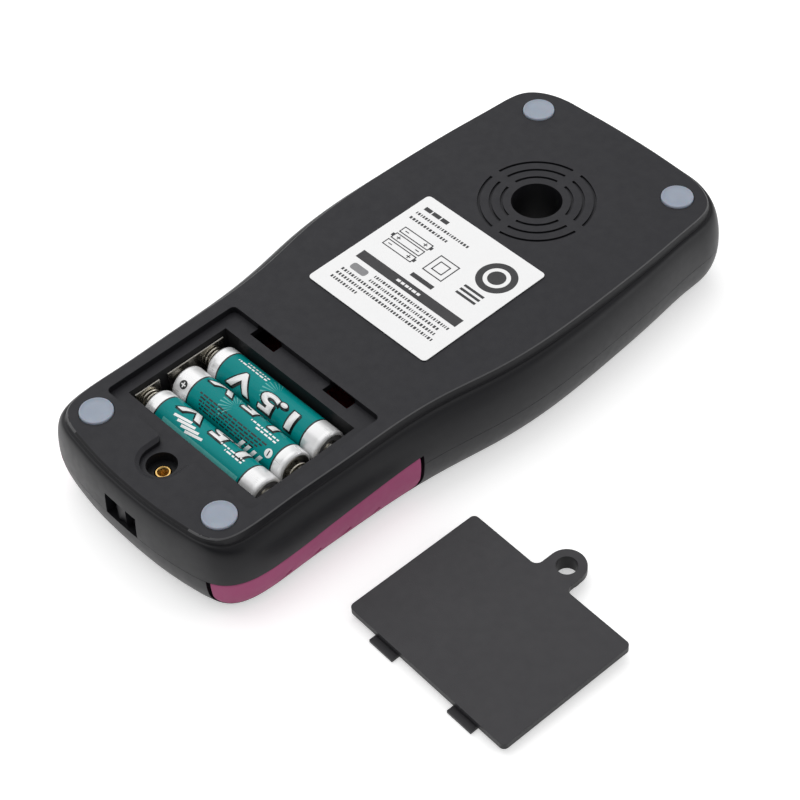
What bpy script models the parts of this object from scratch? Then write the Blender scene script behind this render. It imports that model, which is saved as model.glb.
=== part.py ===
# Wall scanner lying face down, with its battery cover off and laid beside it.
# Metres. +X across the width, +Y along the length towards the head, +Z up out of the flat back.
# The front face rests on z = 0, and the grip's tail end is at -Y.

import math

import bmesh
import bpy
import numpy as np
from mathutils import Matrix, Vector

# Housing outline
# Control points (x, y, swelling) of the ridge line round the flat back, from the tail's middle to the head's
# middle, right half. The swelling is how far the side stands out past the ridge where it is widest.
RIDGE_POINTS = (
    (0.0100, -0.0766, 0.0030), (0.0201, -0.0751, 0.0031), (0.0275, -0.0744, 0.0024),
    (0.0329, -0.0694, 0.0051), (0.0320, -0.0500, 0.0053), (0.0329, -0.0330, 0.0050),
    (0.0326, -0.0161, 0.0059), (0.0339, 0.0001, 0.0067), (0.0378, 0.0160, 0.0061),
    (0.0393, 0.0340, 0.0056), (0.0390, 0.0540, 0.0048), (0.0383, 0.0741, 0.0041),
    (0.0368, 0.0899, 0.0034), (0.0366, 0.1012, 0.0046), (0.0266, 0.1060, 0.0015),
    (0.0200, 0.1059, 0.0014), (0.0100, 0.1067, 0.0015),
)
FACET_TURN = math.radians(9)    # most that the outline turns from one facet to the next

# Housing heights and walls
BACK_Z = 0.0260           # flat back above the table
WIDEST_Z = 0.0130         # height where the sides are widest
RIDGE_ROUND = 0.0003      # small round on the edge of the flat back
STEP_DROP_SIDE = 0.0022   # depth of the step outside the ridge, along the sides
STEP_DROP_END = 0.0010    # the same at the tail and head ends
STEP_OUT = 0.0009         # width of the step outside the ridge
UNDERCUT = 0.0063         # how far the sides draw in again down to the front face
SEAM_Z = 0.0127           # parting line of the two housings
SEAM_GAP = 0.00005        # on each side of it
WALL = 0.0022
BACK_WALL = 0.0024
FRONT_WALL = 0.0020
LIP = 0.0015              # thickness of the front housing's locating lip
LIP_RISE = 0.0017         # height of that lip above the parting line
LIP_ROOT = 0.0030         # how far it reaches below the parting line
FIT = 0.0003              # clearance round a piece in its seat
SEAT = 0.0002             # gap under a piece that lies flat on its seat

# Battery cover and its recess in the back
RECESS_X = 0.0570         # across the tool
RECESS_TAIL_Y = -0.0600
RECESS_HEAD_Y = -0.0168
RECESS_DEPTH = 0.0020
RECESS_ROUND = 0.0015
SHELF_WALL = 0.0018
COVER_FIT = 0.0005
EAR_REACH = 0.0050        # from the recess edge out to the screw's centre
EAR_R = 0.0052
EAR_HOLE_R = 0.0028
EAR_FILLET = 0.0020
HOOK_X = 0.0142           # hook centres each side of the middle
HOOK_WIDTH = 0.0084
HOOK_REACH = 0.0023
HOOK_THICK = 0.0010
HOOK_DROP = 0.0016        # from the cover's underside down to the hooks' lower face
HOOK_LEG = 0.0012
COVER_FLOOR_X = 0.0823    # where the cover lies beside the tool
COVER_FLOOR_Y = -0.0319
COVER_TURN = math.radians(177.9)

# Screw for the cover
COUNTERBORE_R = 0.0041
COUNTERBORE_DEPTH = 0.0030
INSERT_R = 0.0021
INSERT_HOLE_R = 0.0012
INSERT_LENGTH = 0.0060
INSERT_FLOOR = 0.0010     # brass left below the thread
INSERT_BOSS_WALL = 0.0046

# Battery bay
CELL_R = 0.00525
CELL_BODY = 0.0432        # length of a cell without its button
CELL_BUTTON = 0.0009
CELL_BUTTON_R = 0.0019
CELL_PITCH = 0.01085
CELL_CLEAR = 0.0012       # top of the cells below the shelf
CELL_SHIFTS = (0.0004, 0.0010, 0.0002)    # how far each cell sits towards its positive end
CELL_WAYS = (1, -1, 1)    # which way along X each cell's positive end points
CELL_EDGE = 0.0005        # rolled edge at a cell's ends
BAY_SIDE_FIT = 0.0003     # between the outer cells and the bay's long walls
BAY_END_ROOM = 0.0036     # between each end of the cells' bodies and the bay's short walls
BAY_Y = -0.0391           # middle of the bay
BAY_WALL = 0.0015
DIVIDER_THICK = 0.0012    # low dividers on the bay's floor between the cells
DIVIDER_RISE = 0.0016
DIVIDER_HALF_X = 0.0150
PLATE_THICK = 0.0004
PLATE_WIDTH = 0.0080
PLATE_BELOW_SHELF = 0.0020
BUMP_R = 0.0017
SPRING_WIRE = 0.00030     # radius
SPRING_BASE_R = 0.0032
SPRING_TIP_R = 0.0024
SPRING_TURNS = 3

# Grips and the flanks that carry them
GRIP_TAIL_X = 0.0300      # where each grip starts on the tail end
GRIP_HEAD_Y = -0.0128     # where it ends along the side
GRIP_RISE = 0.0030        # how far its upper edge climbs above the parting line
GRIP_RISE_Y = -0.0500     # where that climb starts
GRIP_LOW = 0.0028
GRIP_THICK = 0.0016
GRIP_ROUND = 0.0036       # round of its lower corners
GRIP_SEAM = 0.00015
GRIP_END_GAP = 0.0012     # open gap at each end of a grip
GRIP_ROUND_STEP = 0.07    # step in the outline's parameter round those corners
FLANK_THICK = 0.0017
FLANK_RISE = 0.0016       # how far a flank laps up behind the back housing
FINGER_NOTCHES = (-0.0560, -0.0460, -0.0360, -0.0265)
FINGER_NOTCH_WIDTH = 0.0009
FINGER_NOTCH_DEPTH = 0.0008
FINGER_NOTCH_LENGTH = 0.0044
FINGER_NOTCH_Z = 0.0046
FINGER_NOTCH_SLANT = math.radians(35)

# Strap bar at the tail end
STRAP_HALF_X = 0.0061
STRAP_RISE = 0.0070       # height of the opening above the parting line
STRAP_DEPTH = 0.0064
STRAP_BAR_X = 0.0034
STRAP_BAR_SUNK = 0.0005   # front of the bar behind the tail's face
STRAP_BAR_HOLLOW = 0.0007
STRAP_BAR_DEPTH = 0.0034
STRAP_WALL = 0.0016

# Marking hole, its grooves and the light ring
HOLE_Y = 0.0689
HOLE_R = 0.00715
TUBE_WALL = 0.0019
GROOVE_RADII = (0.0098, 0.0129, 0.0161)
GROOVE_WIDTH = 0.0008
GROOVE_DEPTH = 0.0006
GROOVE_BRIDGE = 0.0030    # solid bridge between two arcs of a groove
LIGHT_RING_R = 0.0116
LIGHT_RING_THICK = 0.0014
LIGHT_RING_SUNK = 0.0003

# Pads and housing screws
PAD_SPOTS = ((-0.0243, -0.0664), (0.0243, -0.0664), (-0.0266, 0.0970), (0.0266, 0.0970))
PAD_R = 0.0045
PAD_SINK = 0.0005
PAD_RISE = 0.0005
PAD_RIM = 0.0004
PAD_DISH = 0.00015
SCREW_R = 0.0013
SCREW_HEAD_R = 0.0026
SCREW_HEAD = 0.0018
SCREW_BELOW_PAD = 0.0003
SCREW_LENGTH = 0.0180
BOSS_WALL = 0.0019
BOSS_MEET_Z = 0.0105      # where the two housings' bosses meet

# Sticker
LABEL_HALF = 0.0226
LABEL_Y = 0.0268
LABEL_THICK = 0.00015
LABEL_ROUND = 0.0013

# Front: display, keys and boards
WINDOW_HALF_X = 0.0210
WINDOW_HALF_Y = 0.0160
WINDOW_Y = 0.0280
LENS_LEDGE = 0.0030
LENS_THICK = 0.0008
LENS_SUNK = 0.0002
PANEL_MARGIN = 0.0020
PANEL_THICK = 0.0021
KEYS = (("power", 0.0, -0.0400, 0.0070, 0.0070, 0.0069), ("mode", -0.0130, -0.0150, 0.0065, 0.0045, 0.0030),
        ("light", 0.0130, -0.0150, 0.0065, 0.0045, 0.0030))
KEY_SUNK = 0.0003         # key faces below the front face
KEY_EDGE = 0.0003         # bevel round a key's face
KEY_FLANGE = 0.0010
KEY_FLANGE_THICK = 0.0008
KEY_STEM_R = 0.0020
KEY_TRAVEL = 0.0005
BOARD_HALF_X = 0.0270
BOARD_TAIL_Y = -0.0560
BOARD_HEAD_Y = 0.0530
BOARD_THICK = 0.0016
BOARD_Z = 0.0065          # underside of the main board
POST_R = 0.0020
POST_INSET = 0.0030
SWITCH_HALF = 0.0030
SWITCH_BODY = 0.0008      # height of a switch's body, without its button
SWITCH_BUTTON = 0.0008    # how far the button stands out of it
SWITCH_BUTTON_R = 0.0016
SENSOR_HALF_X = 0.0270
SENSOR_TAIL_Y = 0.0420
SENSOR_HEAD_Y = 0.0900
SENSOR_THICK = 0.0016
SENSOR_BELOW_WALL = 0.0014
PEG_R = 0.0018
PEG_INSET = 0.0035
COIL_R = 0.0190
COIL_THICK = 0.0030
BUZZER_R = 0.0060
BUZZER_THICK = 0.0040
BUZZER_Y = 0.0400

ROUND_SEGMENTS = 28
SHARP_FROM = math.radians(30)

# Heights that follow from those above
CEILING_Z = BACK_Z - BACK_WALL
SHELF_Z = BACK_Z - RECESS_DEPTH
CELL_Z = SHELF_Z - CELL_CLEAR - CELL_R
BAY_FLOOR_Z = CELL_Z - CELL_R - SEAT
BAY_HALF_X = CELL_BODY / 2 + BAY_END_ROOM
BAY_HALF_Y = CELL_PITCH + CELL_R + BAY_SIDE_FIT
STRAP_TOP_Z = SEAM_Z + STRAP_RISE
RECESS_MID_Y = (RECESS_TAIL_Y + RECESS_HEAD_Y) / 2
EAR_Y = RECESS_TAIL_Y - EAR_REACH
INSERT_TOP_Z = SHELF_Z - COUNTERBORE_DEPTH
PAD_FLOOR_Z = BACK_Z - PAD_SINK - SEAT
SCREW_TOP_Z = PAD_FLOOR_Z - SCREW_BELOW_PAD
SCREW_SEAT_Z = SCREW_TOP_Z - SCREW_HEAD
TUBE_R = HOLE_R + TUBE_WALL
RING_SEAT_Z = LIGHT_RING_SUNK + LIGHT_RING_THICK + SEAT
SWITCH_BUTTON_Z = BOARD_Z - SEAT - SWITCH_BODY - SWITCH_BUTTON
ROOT_Z = BACK_Z - 0.4 * BACK_WALL      # what is joined under the back runs up into its wall to here


# Materials

def material(name, colour, roughness, metallic=0.0, alpha=1.0):
    made = bpy.data.materials.new(name)
    made.use_nodes = True
    shader = made.node_tree.nodes["Principled BSDF"]
    shader.inputs["Base Color"].default_value = (*colour, 1.0)
    shader.inputs["Roughness"].default_value = roughness
    shader.inputs["Metallic"].default_value = metallic
    shader.inputs["Alpha"].default_value = alpha
    return made


# Mesh helpers

def add_mesh(name, points, faces, look=None):
    mesh = bpy.data.meshes.new(name)
    mesh.from_pydata([tuple(p) for p in points], [], faces)
    work = bmesh.new()
    work.from_mesh(mesh)
    bmesh.ops.recalc_face_normals(work, faces=work.faces)
    work.to_mesh(mesh)
    work.free()
    thing = bpy.data.objects.new(name, mesh)
    bpy.context.collection.objects.link(thing)
    if look:
        mesh.materials.append(look)
    return thing


def loft(name, loops, look=None):
    """A closed solid through equal loops of points, with a flat cap on the first and the last."""
    count = len(loops[0])
    points = [p for loop in loops for p in loop]
    faces = [tuple(range(count)), tuple((len(loops) - 1) * count + i for i in range(count))]
    for k in range(len(loops) - 1):
        for i in range(count):
            j = (i + 1) % count
            faces.append((k * count + i, k * count + j, (k + 1) * count + j, (k + 1) * count + i))
    return add_mesh(name, points, faces, look)


def prism(name, outline, low, high, look=None):
    return loft(name, [[(x, y, low) for x, y in outline], [(x, y, high) for x, y in outline]], look)


def rounded_rectangle(x, y, half_x, half_y, round_r, steps=4):
    points = []
    for quarter, (sx, sy) in enumerate(((1, 1), (-1, 1), (-1, -1), (1, -1))):
        for k in range(steps + 1):
            angle = math.pi / 2 * (quarter + k / steps)
            points.append((x + sx * (half_x - round_r) + round_r * math.cos(angle),
                           y + sy * (half_y - round_r) + round_r * math.sin(angle)))
    return points


def circle(x, y, r, segments=ROUND_SEGMENTS):
    return [(x + r * math.cos(2 * math.pi * k / segments), y + r * math.sin(2 * math.pi * k / segments))
            for k in range(segments)]


def box(name, low, high, look=None):
    outline = ((low[0], low[1]), (high[0], low[1]), (high[0], high[1]), (low[0], high[1]))
    return prism(name, outline, low[2], high[2], look)


def rod(name, x, y, r, low, high, look=None, segments=ROUND_SEGMENTS):
    return prism(name, circle(x, y, r, segments), low, high, look)


def turned(name, profile, look=None, segments=ROUND_SEGMENTS):
    """A solid turned about Z from (radius, height) points, with flat ends at the first and the last."""
    loops = [[(r * math.cos(2 * math.pi * k / segments), r * math.sin(2 * math.pi * k / segments), z)
              for k in range(segments)] for r, z in profile]
    return loft(name, loops, look)


def washer(name, x, y, inner, outer, low, high, look=None, segments=ROUND_SEGMENTS):
    rings = [[(px, py, z) for px, py in circle(x, y, r, segments)]
             for r, z in ((inner, low), (outer, low), (outer, high), (inner, high))]
    points = [p for level in rings for p in level]
    faces = []
    for k in range(4):
        for i in range(segments):
            j = (i + 1) % segments
            m = (k + 1) % 4
            faces.append((k * segments + i, k * segments + j, m * segments + j, m * segments + i))
    return add_mesh(name, points, faces, look)


def apply_boolean(target, tool, operation):
    step = target.modifiers.new(operation, "BOOLEAN")
    step.operation = operation
    step.solver = "EXACT"
    step.object = tool
    bpy.context.view_layer.update()
    shaped = bpy.data.meshes.new_from_object(target.evaluated_get(bpy.context.evaluated_depsgraph_get()))
    target.modifiers.clear()
    target.data = shaped
    bpy.data.objects.remove(tool)


def cut(target, *tools):
    for tool in tools:
        apply_boolean(target, tool, "DIFFERENCE")


def join(target, *tools):
    for tool in tools:
        apply_boolean(target, tool, "UNION")


def placed(thing, place, angle=0.0, axis="Z"):
    """The thing moved to a place, turned there by an angle about one of its axes."""
    thing.matrix_world = Matrix.Translation(place) @ Matrix.Rotation(angle, 4, axis)
    return thing


# The housing's outline

RIDGE = np.array(RIDGE_POINTS + tuple((-x, y, swelling) for x, y, swelling in reversed(RIDGE_POINTS)))


def spline_at(u):
    """Point and swelling of the closed cubic B-spline at parameter u, one unit for each control point."""
    count = len(RIDGE)
    i = math.floor(u)
    t = u - i
    weights = ((1 - t) ** 3, 3 * t ** 3 - 6 * t * t + 4, -3 * t ** 3 + 3 * t * t + 3 * t + 1, t ** 3)
    return sum(w / 6 * RIDGE[(i + k - 1) % count] for k, w in enumerate(weights))


def ridge_at(u):
    return spline_at(u)[:2]


def ridge_normal(u):
    ahead = ridge_at(u + 0.01) - ridge_at(u - 0.01)
    ahead = ahead / np.linalg.norm(ahead)
    return np.array((ahead[1], -ahead[0]))


def shoulder_at(u):
    """Height of the shoulder where the step meets the side, lower along the sides than at the ends."""
    across = ridge_normal(u)[0] ** 2
    return BACK_Z - STEP_DROP_END - (STEP_DROP_SIDE - STEP_DROP_END) * across


def wall_offset(u, z):
    """Distance of the outer face outside the ridge: a quarter ellipse each way from the widest line."""
    swelling = spline_at(u)[2]
    if z >= WIDEST_Z:
        rise = min(1.0, (z - WIDEST_Z) / (shoulder_at(u) - WIDEST_Z))
        return STEP_OUT + (swelling - STEP_OUT) * math.sqrt(1 - rise * rise)
    drop = min(1.0, 1 - z / WIDEST_Z)
    return swelling - UNDERCUT * (1 - math.sqrt(1 - drop * drop))


def wall_point(u, z, outward):
    """Point of the outer face at parameter u and height z, moved outward by the given distance."""
    x, y = ridge_at(u) + ridge_normal(u) * (wall_offset(u, z) + outward)
    return (x, y, z)


def outline_parameters():
    """Parameters of the facets' corners, closer together where the outline turns more."""
    found = []
    for i in range(len(RIDGE)):
        turn = math.acos(min(1.0, float(ridge_normal(i) @ ridge_normal(i + 1))))
        steps = max(1, math.ceil(turn / FACET_TURN))
        found += [i + k / steps for k in range(steps)]
    return found


STATIONS = outline_parameters()


def ring(z, outward):
    return [wall_point(u, z, outward) for u in STATIONS]


def side_ring(share):
    """A loop of the outer face at a share of the height from the widest line to the shoulder."""
    return [wall_point(u, WIDEST_Z + (shoulder_at(u) - WIDEST_Z) * share, 0) for u in STATIONS]


def back_ring(share, outward):
    """A loop at a share of the step's height above the shoulder, measured outward from the ridge itself."""
    return [(*(ridge_at(u) + ridge_normal(u) * outward), BACK_Z - (1 - share) * (BACK_Z - shoulder_at(u)))
            for u in STATIONS]


# Stretches of wall along the grips

def find_parameter(test, start, stop):
    """The parameter between start and stop where the test changes from false to true."""
    for _ in range(40):
        middle = (start + stop) / 2
        if test(middle):
            stop = middle
        else:
            start = middle
    return stop


def grip_span(extra):
    """Parameters of a right-hand grip's two ends, each moved outward along the wall by extra."""
    half = len(RIDGE_POINTS)
    first = find_parameter(lambda u: wall_point(u, SEAM_Z, 0)[0] > GRIP_TAIL_X - extra, 0, 4)
    last = find_parameter(lambda u: ridge_at(u)[1] > GRIP_HEAD_Y + extra, 4, half - 4)
    return first, last


def grip_top(u):
    """Height of a grip's upper edge, which climbs towards the head."""
    share = min(max((ridge_at(u)[1] - GRIP_RISE_Y) / (GRIP_HEAD_Y - GRIP_RISE_Y), 0.0), 1.0)
    return SEAM_Z + GRIP_RISE * share


def corner_lift(distance):
    """Rise of a grip's lower edge where its end is rounded."""
    inside = max(0.0, GRIP_ROUND - distance)
    return GRIP_ROUND - math.sqrt(max(0.0, GRIP_ROUND ** 2 - inside ** 2))


def strip(near, far, low, high, levels=4):
    """Section of a strip that follows the wall, from near to far outward of it and from low to high."""
    def section(u, rise):
        heights = [low + rise + (high(u) - low - rise) * k / (levels - 1) for k in range(levels)]
        return [(z, far) for z in heights] + [(z, near) for z in reversed(heights)]
    return section


def wall_sweep(name, span, section, look=None, rounded=False):
    """A solid along the wall between two parameters, with sections of (height, distance outward) points."""
    us = [u for u in STATIONS if span[0] < u < span[1]]
    if rounded:
        for k in range(1, 4):
            us += [span[0] + GRIP_ROUND_STEP * k, span[1] - GRIP_ROUND_STEP * k]
    us = [span[0], *sorted(us), span[1]]
    places = [ridge_at(u) for u in us]
    gone = [0.0]
    for here, ahead in zip(places, places[1:]):
        gone.append(gone[-1] + float(np.linalg.norm(ahead - here)))
    loops = []
    for u, here in zip(us, gone):
        rise = corner_lift(min(here, gone[-1] - here)) if rounded else 0.0
        loops.append([wall_point(u, z, outward) for z, outward in section(u, rise)])
    return loft(name, loops, look)


def flank_section(u, _):
    """Wall behind a grip, with a step up behind the back housing's edge."""
    top = grip_top(u)
    low = FRONT_WALL / 2
    behind = -WALL - FIT
    inner = behind - FLANK_THICK
    return [(low, -GRIP_THICK / 2), ((low + top) / 2, -GRIP_THICK / 2), (top, -GRIP_THICK / 2), (top, behind),
            (top + FLANK_RISE, behind), (top + FLANK_RISE, inner), ((low + top) / 2, inner), (low, inner)]


def mirrored(thing, name, look=None):
    """A copy of a solid on the other side of the tool's middle plane."""
    points = [(-v.co.x, v.co.y, v.co.z) for v in thing.data.vertices]
    faces = [tuple(p.vertices) for p in thing.data.polygons]
    return add_mesh(name, points, faces, look)


def both_sides(thing):
    return thing, mirrored(thing, thing.name + "_other")


# Back housing

def back_shell(look):
    edge = SEAM_Z + SEAM_GAP
    loops = [ring(z, -WALL) for z in (CEILING_Z, (CEILING_Z + WIDEST_Z) / 2, WIDEST_Z, edge)]
    loops.append(ring(edge, 0))
    for angle in (74, 58, 43, 29, 15, 0):
        loops.append(side_ring(math.cos(math.radians(angle))))
    loops += [back_ring(0.3, STEP_OUT / 2), back_ring(0.8, 0), back_ring(1, -RIDGE_ROUND)]
    shell = loft("back_shell", loops, look)

    add_bay(shell)
    add_bosses(shell)
    add_strap_bar(shell)
    cut_cover_seat(shell)
    cut_marking_hole(shell)
    cut_pad_seats(shell)
    notch = wall_sweep("notch", grip_span(GRIP_END_GAP),
                       strip(-2 * WALL, WALL, SEAM_Z - WALL, lambda u: grip_top(u) + GRIP_SEAM))
    cut(shell, *both_sides(notch))
    return shell


def add_bay(shell):
    """Tub of the battery bay and the shelf round it, joined under the flat back, with the tub then hollowed."""
    shelf_x = RECESS_X / 2 + SHELF_WALL
    join(shell, box("shelf", (-shelf_x, RECESS_TAIL_Y - SHELF_WALL, SHELF_Z - SHELF_WALL),
                    (shelf_x, RECESS_HEAD_Y + HOOK_REACH + SHELF_WALL, ROOT_Z)),
         box("tub", (-BAY_HALF_X - BAY_WALL, BAY_Y - BAY_HALF_Y - BAY_WALL, BAY_FLOOR_Z - BAY_WALL),
             (BAY_HALF_X + BAY_WALL, BAY_Y + BAY_HALF_Y + BAY_WALL, SHELF_Z - SHELF_WALL / 2)))
    cut(shell, box("hollow", (-BAY_HALF_X, BAY_Y - BAY_HALF_Y, BAY_FLOOR_Z),
                   (BAY_HALF_X, BAY_Y + BAY_HALF_Y, BACK_Z + WALL)))
    for side in (-1, 1):
        y = BAY_Y + side * CELL_PITCH / 2
        join(shell, box("divider", (-DIVIDER_HALF_X, y - DIVIDER_THICK / 2, BAY_FLOOR_Z - BAY_WALL / 2),
                        (DIVIDER_HALF_X, y + DIVIDER_THICK / 2, BAY_FLOOR_Z + DIVIDER_RISE)))


def add_bosses(shell):
    for x, y in PAD_SPOTS:
        join(shell, rod("boss", x, y, SCREW_HEAD_R + BOSS_WALL, BOSS_MEET_Z, ROOT_Z, segments=24))
    join(shell, rod("insert_boss", 0, EAR_Y, INSERT_R + INSERT_BOSS_WALL,
                    INSERT_TOP_Z - INSERT_LENGTH - BAY_WALL, ROOT_Z, segments=24),
         rod("tube", 0, HOLE_Y, TUBE_R, RING_SEAT_Z + FIT, ROOT_Z))
    board_top = CEILING_Z - SENSOR_BELOW_WALL
    for x in (-1, 1):
        for y in (SENSOR_TAIL_Y + PEG_INSET, SENSOR_HEAD_Y - PEG_INSET):
            join(shell, rod("peg", x * (SENSOR_HALF_X - PEG_INSET), y, PEG_R, board_top + SEAT, ROOT_Z,
                            segments=12))


def cut_cover_seat(shell):
    over = BACK_Z + WALL
    recess = rounded_rectangle(0, RECESS_MID_Y, RECESS_X / 2, (RECESS_HEAD_Y - RECESS_TAIL_Y) / 2, RECESS_ROUND)
    cut(shell, prism("recess", recess, SHELF_Z, over),
        prism("ear_notch", ear_outline(EAR_R + COVER_FIT, RECESS_TAIL_Y, EAR_Y, EAR_FILLET - COVER_FIT),
              SHELF_Z, over),
        rod("counterbore", 0, EAR_Y, COUNTERBORE_R, INSERT_TOP_Z, over),
        rod("insert_seat", 0, EAR_Y, INSERT_R + SEAT, INSERT_TOP_Z - INSERT_LENGTH - SEAT, over, segments=24))
    for side in (-1, 1):
        half = HOOK_WIDTH / 2 + COVER_FIT
        cut(shell, box("hook_slot", (side * HOOK_X - half, RECESS_HEAD_Y - HOOK_REACH - COVER_FIT,
                                     SHELF_Z - 2 * SHELF_WALL),
                       (side * HOOK_X + half, RECESS_HEAD_Y + HOOK_REACH, SHELF_Z + HOOK_THICK + COVER_FIT)))


def ear_outline(r, edge_y, centre_y, fillet, steps=14):
    """Outline of a screw ear from inside the cover's edge outward: a neck with fillets and a round end."""
    reach = edge_y - centre_y
    right = [(r + fillet, -fillet)]
    for k in range(5):
        angle = math.pi / 2 * k / 4
        right.append((r + fillet * (1 - math.sin(angle)), fillet * (1 - math.cos(angle))))
    arc = [(r * math.cos(angle), reach + r * math.sin(angle))
           for angle in (math.pi * k / steps for k in range(steps + 1))]
    left = [(-x, y) for x, y in reversed(right)]
    return [(x, edge_y - y) for x, y in right + arc + left]


def cut_marking_hole(shell):
    over = BACK_Z + WALL
    cut(shell, rod("bore", 0, HOLE_Y, HOLE_R, -WALL, over, segments=40))
    for radius in GROOVE_RADII:
        for quarter in range(4):
            cut(shell, groove_arc(radius, quarter))


def groove_arc(radius, quarter, steps=6):
    """One of the four arcs of a shallow ring groove, each centred on a diagonal of the tool."""
    half_gap = math.asin(GROOVE_BRIDGE / 2 / radius)
    first = quarter * math.pi / 2 + half_gap
    sweep = math.pi / 2 - 2 * half_gap
    outline = []
    for side in (1, -1):
        r = radius + side * GROOVE_WIDTH / 2
        for k in range(steps + 1)[::side]:
            angle = first + sweep * k / steps
            outline.append((r * math.cos(angle), HOLE_Y + r * math.sin(angle)))
    return prism("groove", outline, BACK_Z - GROOVE_DEPTH, BACK_Z + WALL)


def cut_pad_seats(shell):
    over = BACK_Z + WALL
    for x, y in PAD_SPOTS:
        cut(shell, rod("pad_seat", x, y, PAD_R + SEAT, PAD_FLOOR_Z, over),
            rod("screw_seat", x, y, SCREW_HEAD_R + FIT, SCREW_SEAT_Z - SEAT, over, segments=20),
            rod("screw_way", x, y, SCREW_R + FIT, BOSS_MEET_Z - WALL, over, segments=16))


def add_strap_bar(shell):
    """Pocket for the wrist strap in the tail end, open down to the parting line, with a bar in its middle."""
    face = tail_face()
    behind = face + WALL + FIT
    back = face + STRAP_DEPTH
    side = STRAP_HALF_X + STRAP_WALL
    join(shell, box("strap_block", (-side, face + WALL / 2, SEAM_Z + SEAM_GAP),
                    (side, back + STRAP_WALL, STRAP_TOP_Z + STRAP_WALL)),
         box("strap_floor", (-side, behind, SEAM_Z - STRAP_WALL),
             (side, back + STRAP_WALL, SEAM_Z + STRAP_WALL)))
    cut(shell, box("strap_pocket", (-STRAP_HALF_X, face - WALL, SEAM_Z), (STRAP_HALF_X, back, STRAP_TOP_Z)))
    half = STRAP_BAR_X / 2
    front = face + STRAP_BAR_SUNK
    bar = [(half * math.cos(angle), front + STRAP_BAR_HOLLOW * math.sin(angle))
           for angle in (math.pi * k / 6 for k in range(7))]
    bar += [(-half, front + STRAP_BAR_DEPTH), (half, front + STRAP_BAR_DEPTH)]
    top = STRAP_TOP_Z + STRAP_WALL / 2
    join(shell, prism("strap_bar", bar, SEAM_Z + SEAM_GAP, top),
         box("strap_bar_foot", (-half, behind, SEAM_Z - STRAP_WALL / 2), (half, front + STRAP_BAR_DEPTH, top)))


def tail_face():
    return wall_point(-0.5, SEAM_Z + STRAP_RISE / 2, 0)[1]


# Front housing

def front_shell(look):
    lip_top = SEAM_Z + LIP_RISE
    lip_out = WALL + SEAT
    inner = lip_out + LIP
    edge = SEAM_Z - SEAM_GAP
    loops = [ring(z, -WALL) for z in (FRONT_WALL, (FRONT_WALL + SEAM_Z - LIP_ROOT) / 2, SEAM_Z - LIP_ROOT)]
    loops += [ring(SEAM_Z - LIP_ROOT + LIP, -inner), ring(lip_top, -inner), ring(lip_top, -lip_out),
              ring(edge, -lip_out), ring(edge, 0)]
    for angle in (18, 36, 52, 66, 79, 90):
        loops.append(ring(WIDEST_Z * (1 - math.sin(math.radians(angle))), 0))
    shell = loft("front_shell", loops, look)

    join(shell, *both_sides(wall_sweep("flank", grip_span(-FIT), flank_section)))
    section = strip(-GRIP_THICK - SEAT, WALL, GRIP_LOW - GRIP_SEAM, lambda u: grip_top(u) + FLANK_RISE)
    recess = wall_sweep("grip_recess", grip_span(GRIP_END_GAP), section, rounded=True)
    cut(shell, *both_sides(recess))
    behind = tail_face() + WALL + SEAT
    side = STRAP_HALF_X + STRAP_WALL + FIT
    cut(shell, box("strap_way", (-side, behind, SEAM_Z - STRAP_WALL - FIT),
                   (side, behind + 2 * STRAP_DEPTH, SEAM_Z + 2 * LIP_RISE)))
    add_front_bosses(shell)
    cut_front_openings(shell)
    return shell


def add_front_bosses(shell):
    foot = FRONT_WALL / 2
    for x, y in PAD_SPOTS:
        join(shell, rod("boss", x, y, SCREW_R + FIT + BOSS_WALL, foot, BOSS_MEET_Z - FIT, segments=24))
        cut(shell, rod("pilot", x, y, SCREW_R + FIT, FRONT_WALL, BOSS_MEET_Z, segments=16))
    for x in (-1, 1):
        for y in (BOARD_TAIL_Y + POST_INSET, BOARD_HEAD_Y - POST_INSET):
            join(shell, rod("post", x * (BOARD_HALF_X - POST_INSET), y, POST_R, foot, BOARD_Z - SEAT,
                            segments=16))
    join(shell, rod("ring_boss", 0, HOLE_Y, LIGHT_RING_R + FIT + BOSS_WALL, foot, RING_SEAT_Z + BOSS_WALL))


def cut_front_openings(shell):
    below = -WALL
    window = rounded_rectangle(0, WINDOW_Y, WINDOW_HALF_X, WINDOW_HALF_Y, LENS_LEDGE / 2)
    ledge = rounded_rectangle(0, WINDOW_Y, WINDOW_HALF_X + LENS_LEDGE, WINDOW_HALF_Y + LENS_LEDGE, LENS_LEDGE)
    cut(shell, prism("window", window, below, FRONT_WALL + WALL),
        prism("lens_seat", ledge, below, LENS_SUNK + LENS_THICK + SEAT),
        rod("ring_seat", 0, HOLE_Y, LIGHT_RING_R + FIT, below, RING_SEAT_Z),
        rod("tube_way", 0, HOLE_Y, TUBE_R + FIT, below, RING_SEAT_Z + 2 * BOSS_WALL))
    for _, x, y, half_x, half_y, corner in KEYS:
        hole = rounded_rectangle(x, y, half_x + FIT, half_y + FIT, corner + FIT)
        cut(shell, prism("key_hole", hole, below, FRONT_WALL + WALL))


# Grips

def grip(look):
    made = wall_sweep("grip_right", grip_span(0), strip(-GRIP_THICK, 0, GRIP_LOW, grip_top), look, rounded=True)
    for y in FINGER_NOTCHES:
        u = find_parameter(lambda v, y=y: ridge_at(v)[1] > y, 3, len(RIDGE_POINTS) - 4)
        x, spot_y, z = wall_point(u, FINGER_NOTCH_Z, 0)
        half = FINGER_NOTCH_WIDTH / 2
        tool = box("notch", (-FINGER_NOTCH_DEPTH, -FINGER_NOTCH_LENGTH / 2, -half),
                   (FINGER_NOTCH_DEPTH * 2, FINGER_NOTCH_LENGTH / 2, half))
        cut(made, placed(tool, (x, spot_y, z), FINGER_NOTCH_SLANT, "X"))
    return made


# Cover, on the floor

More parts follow.
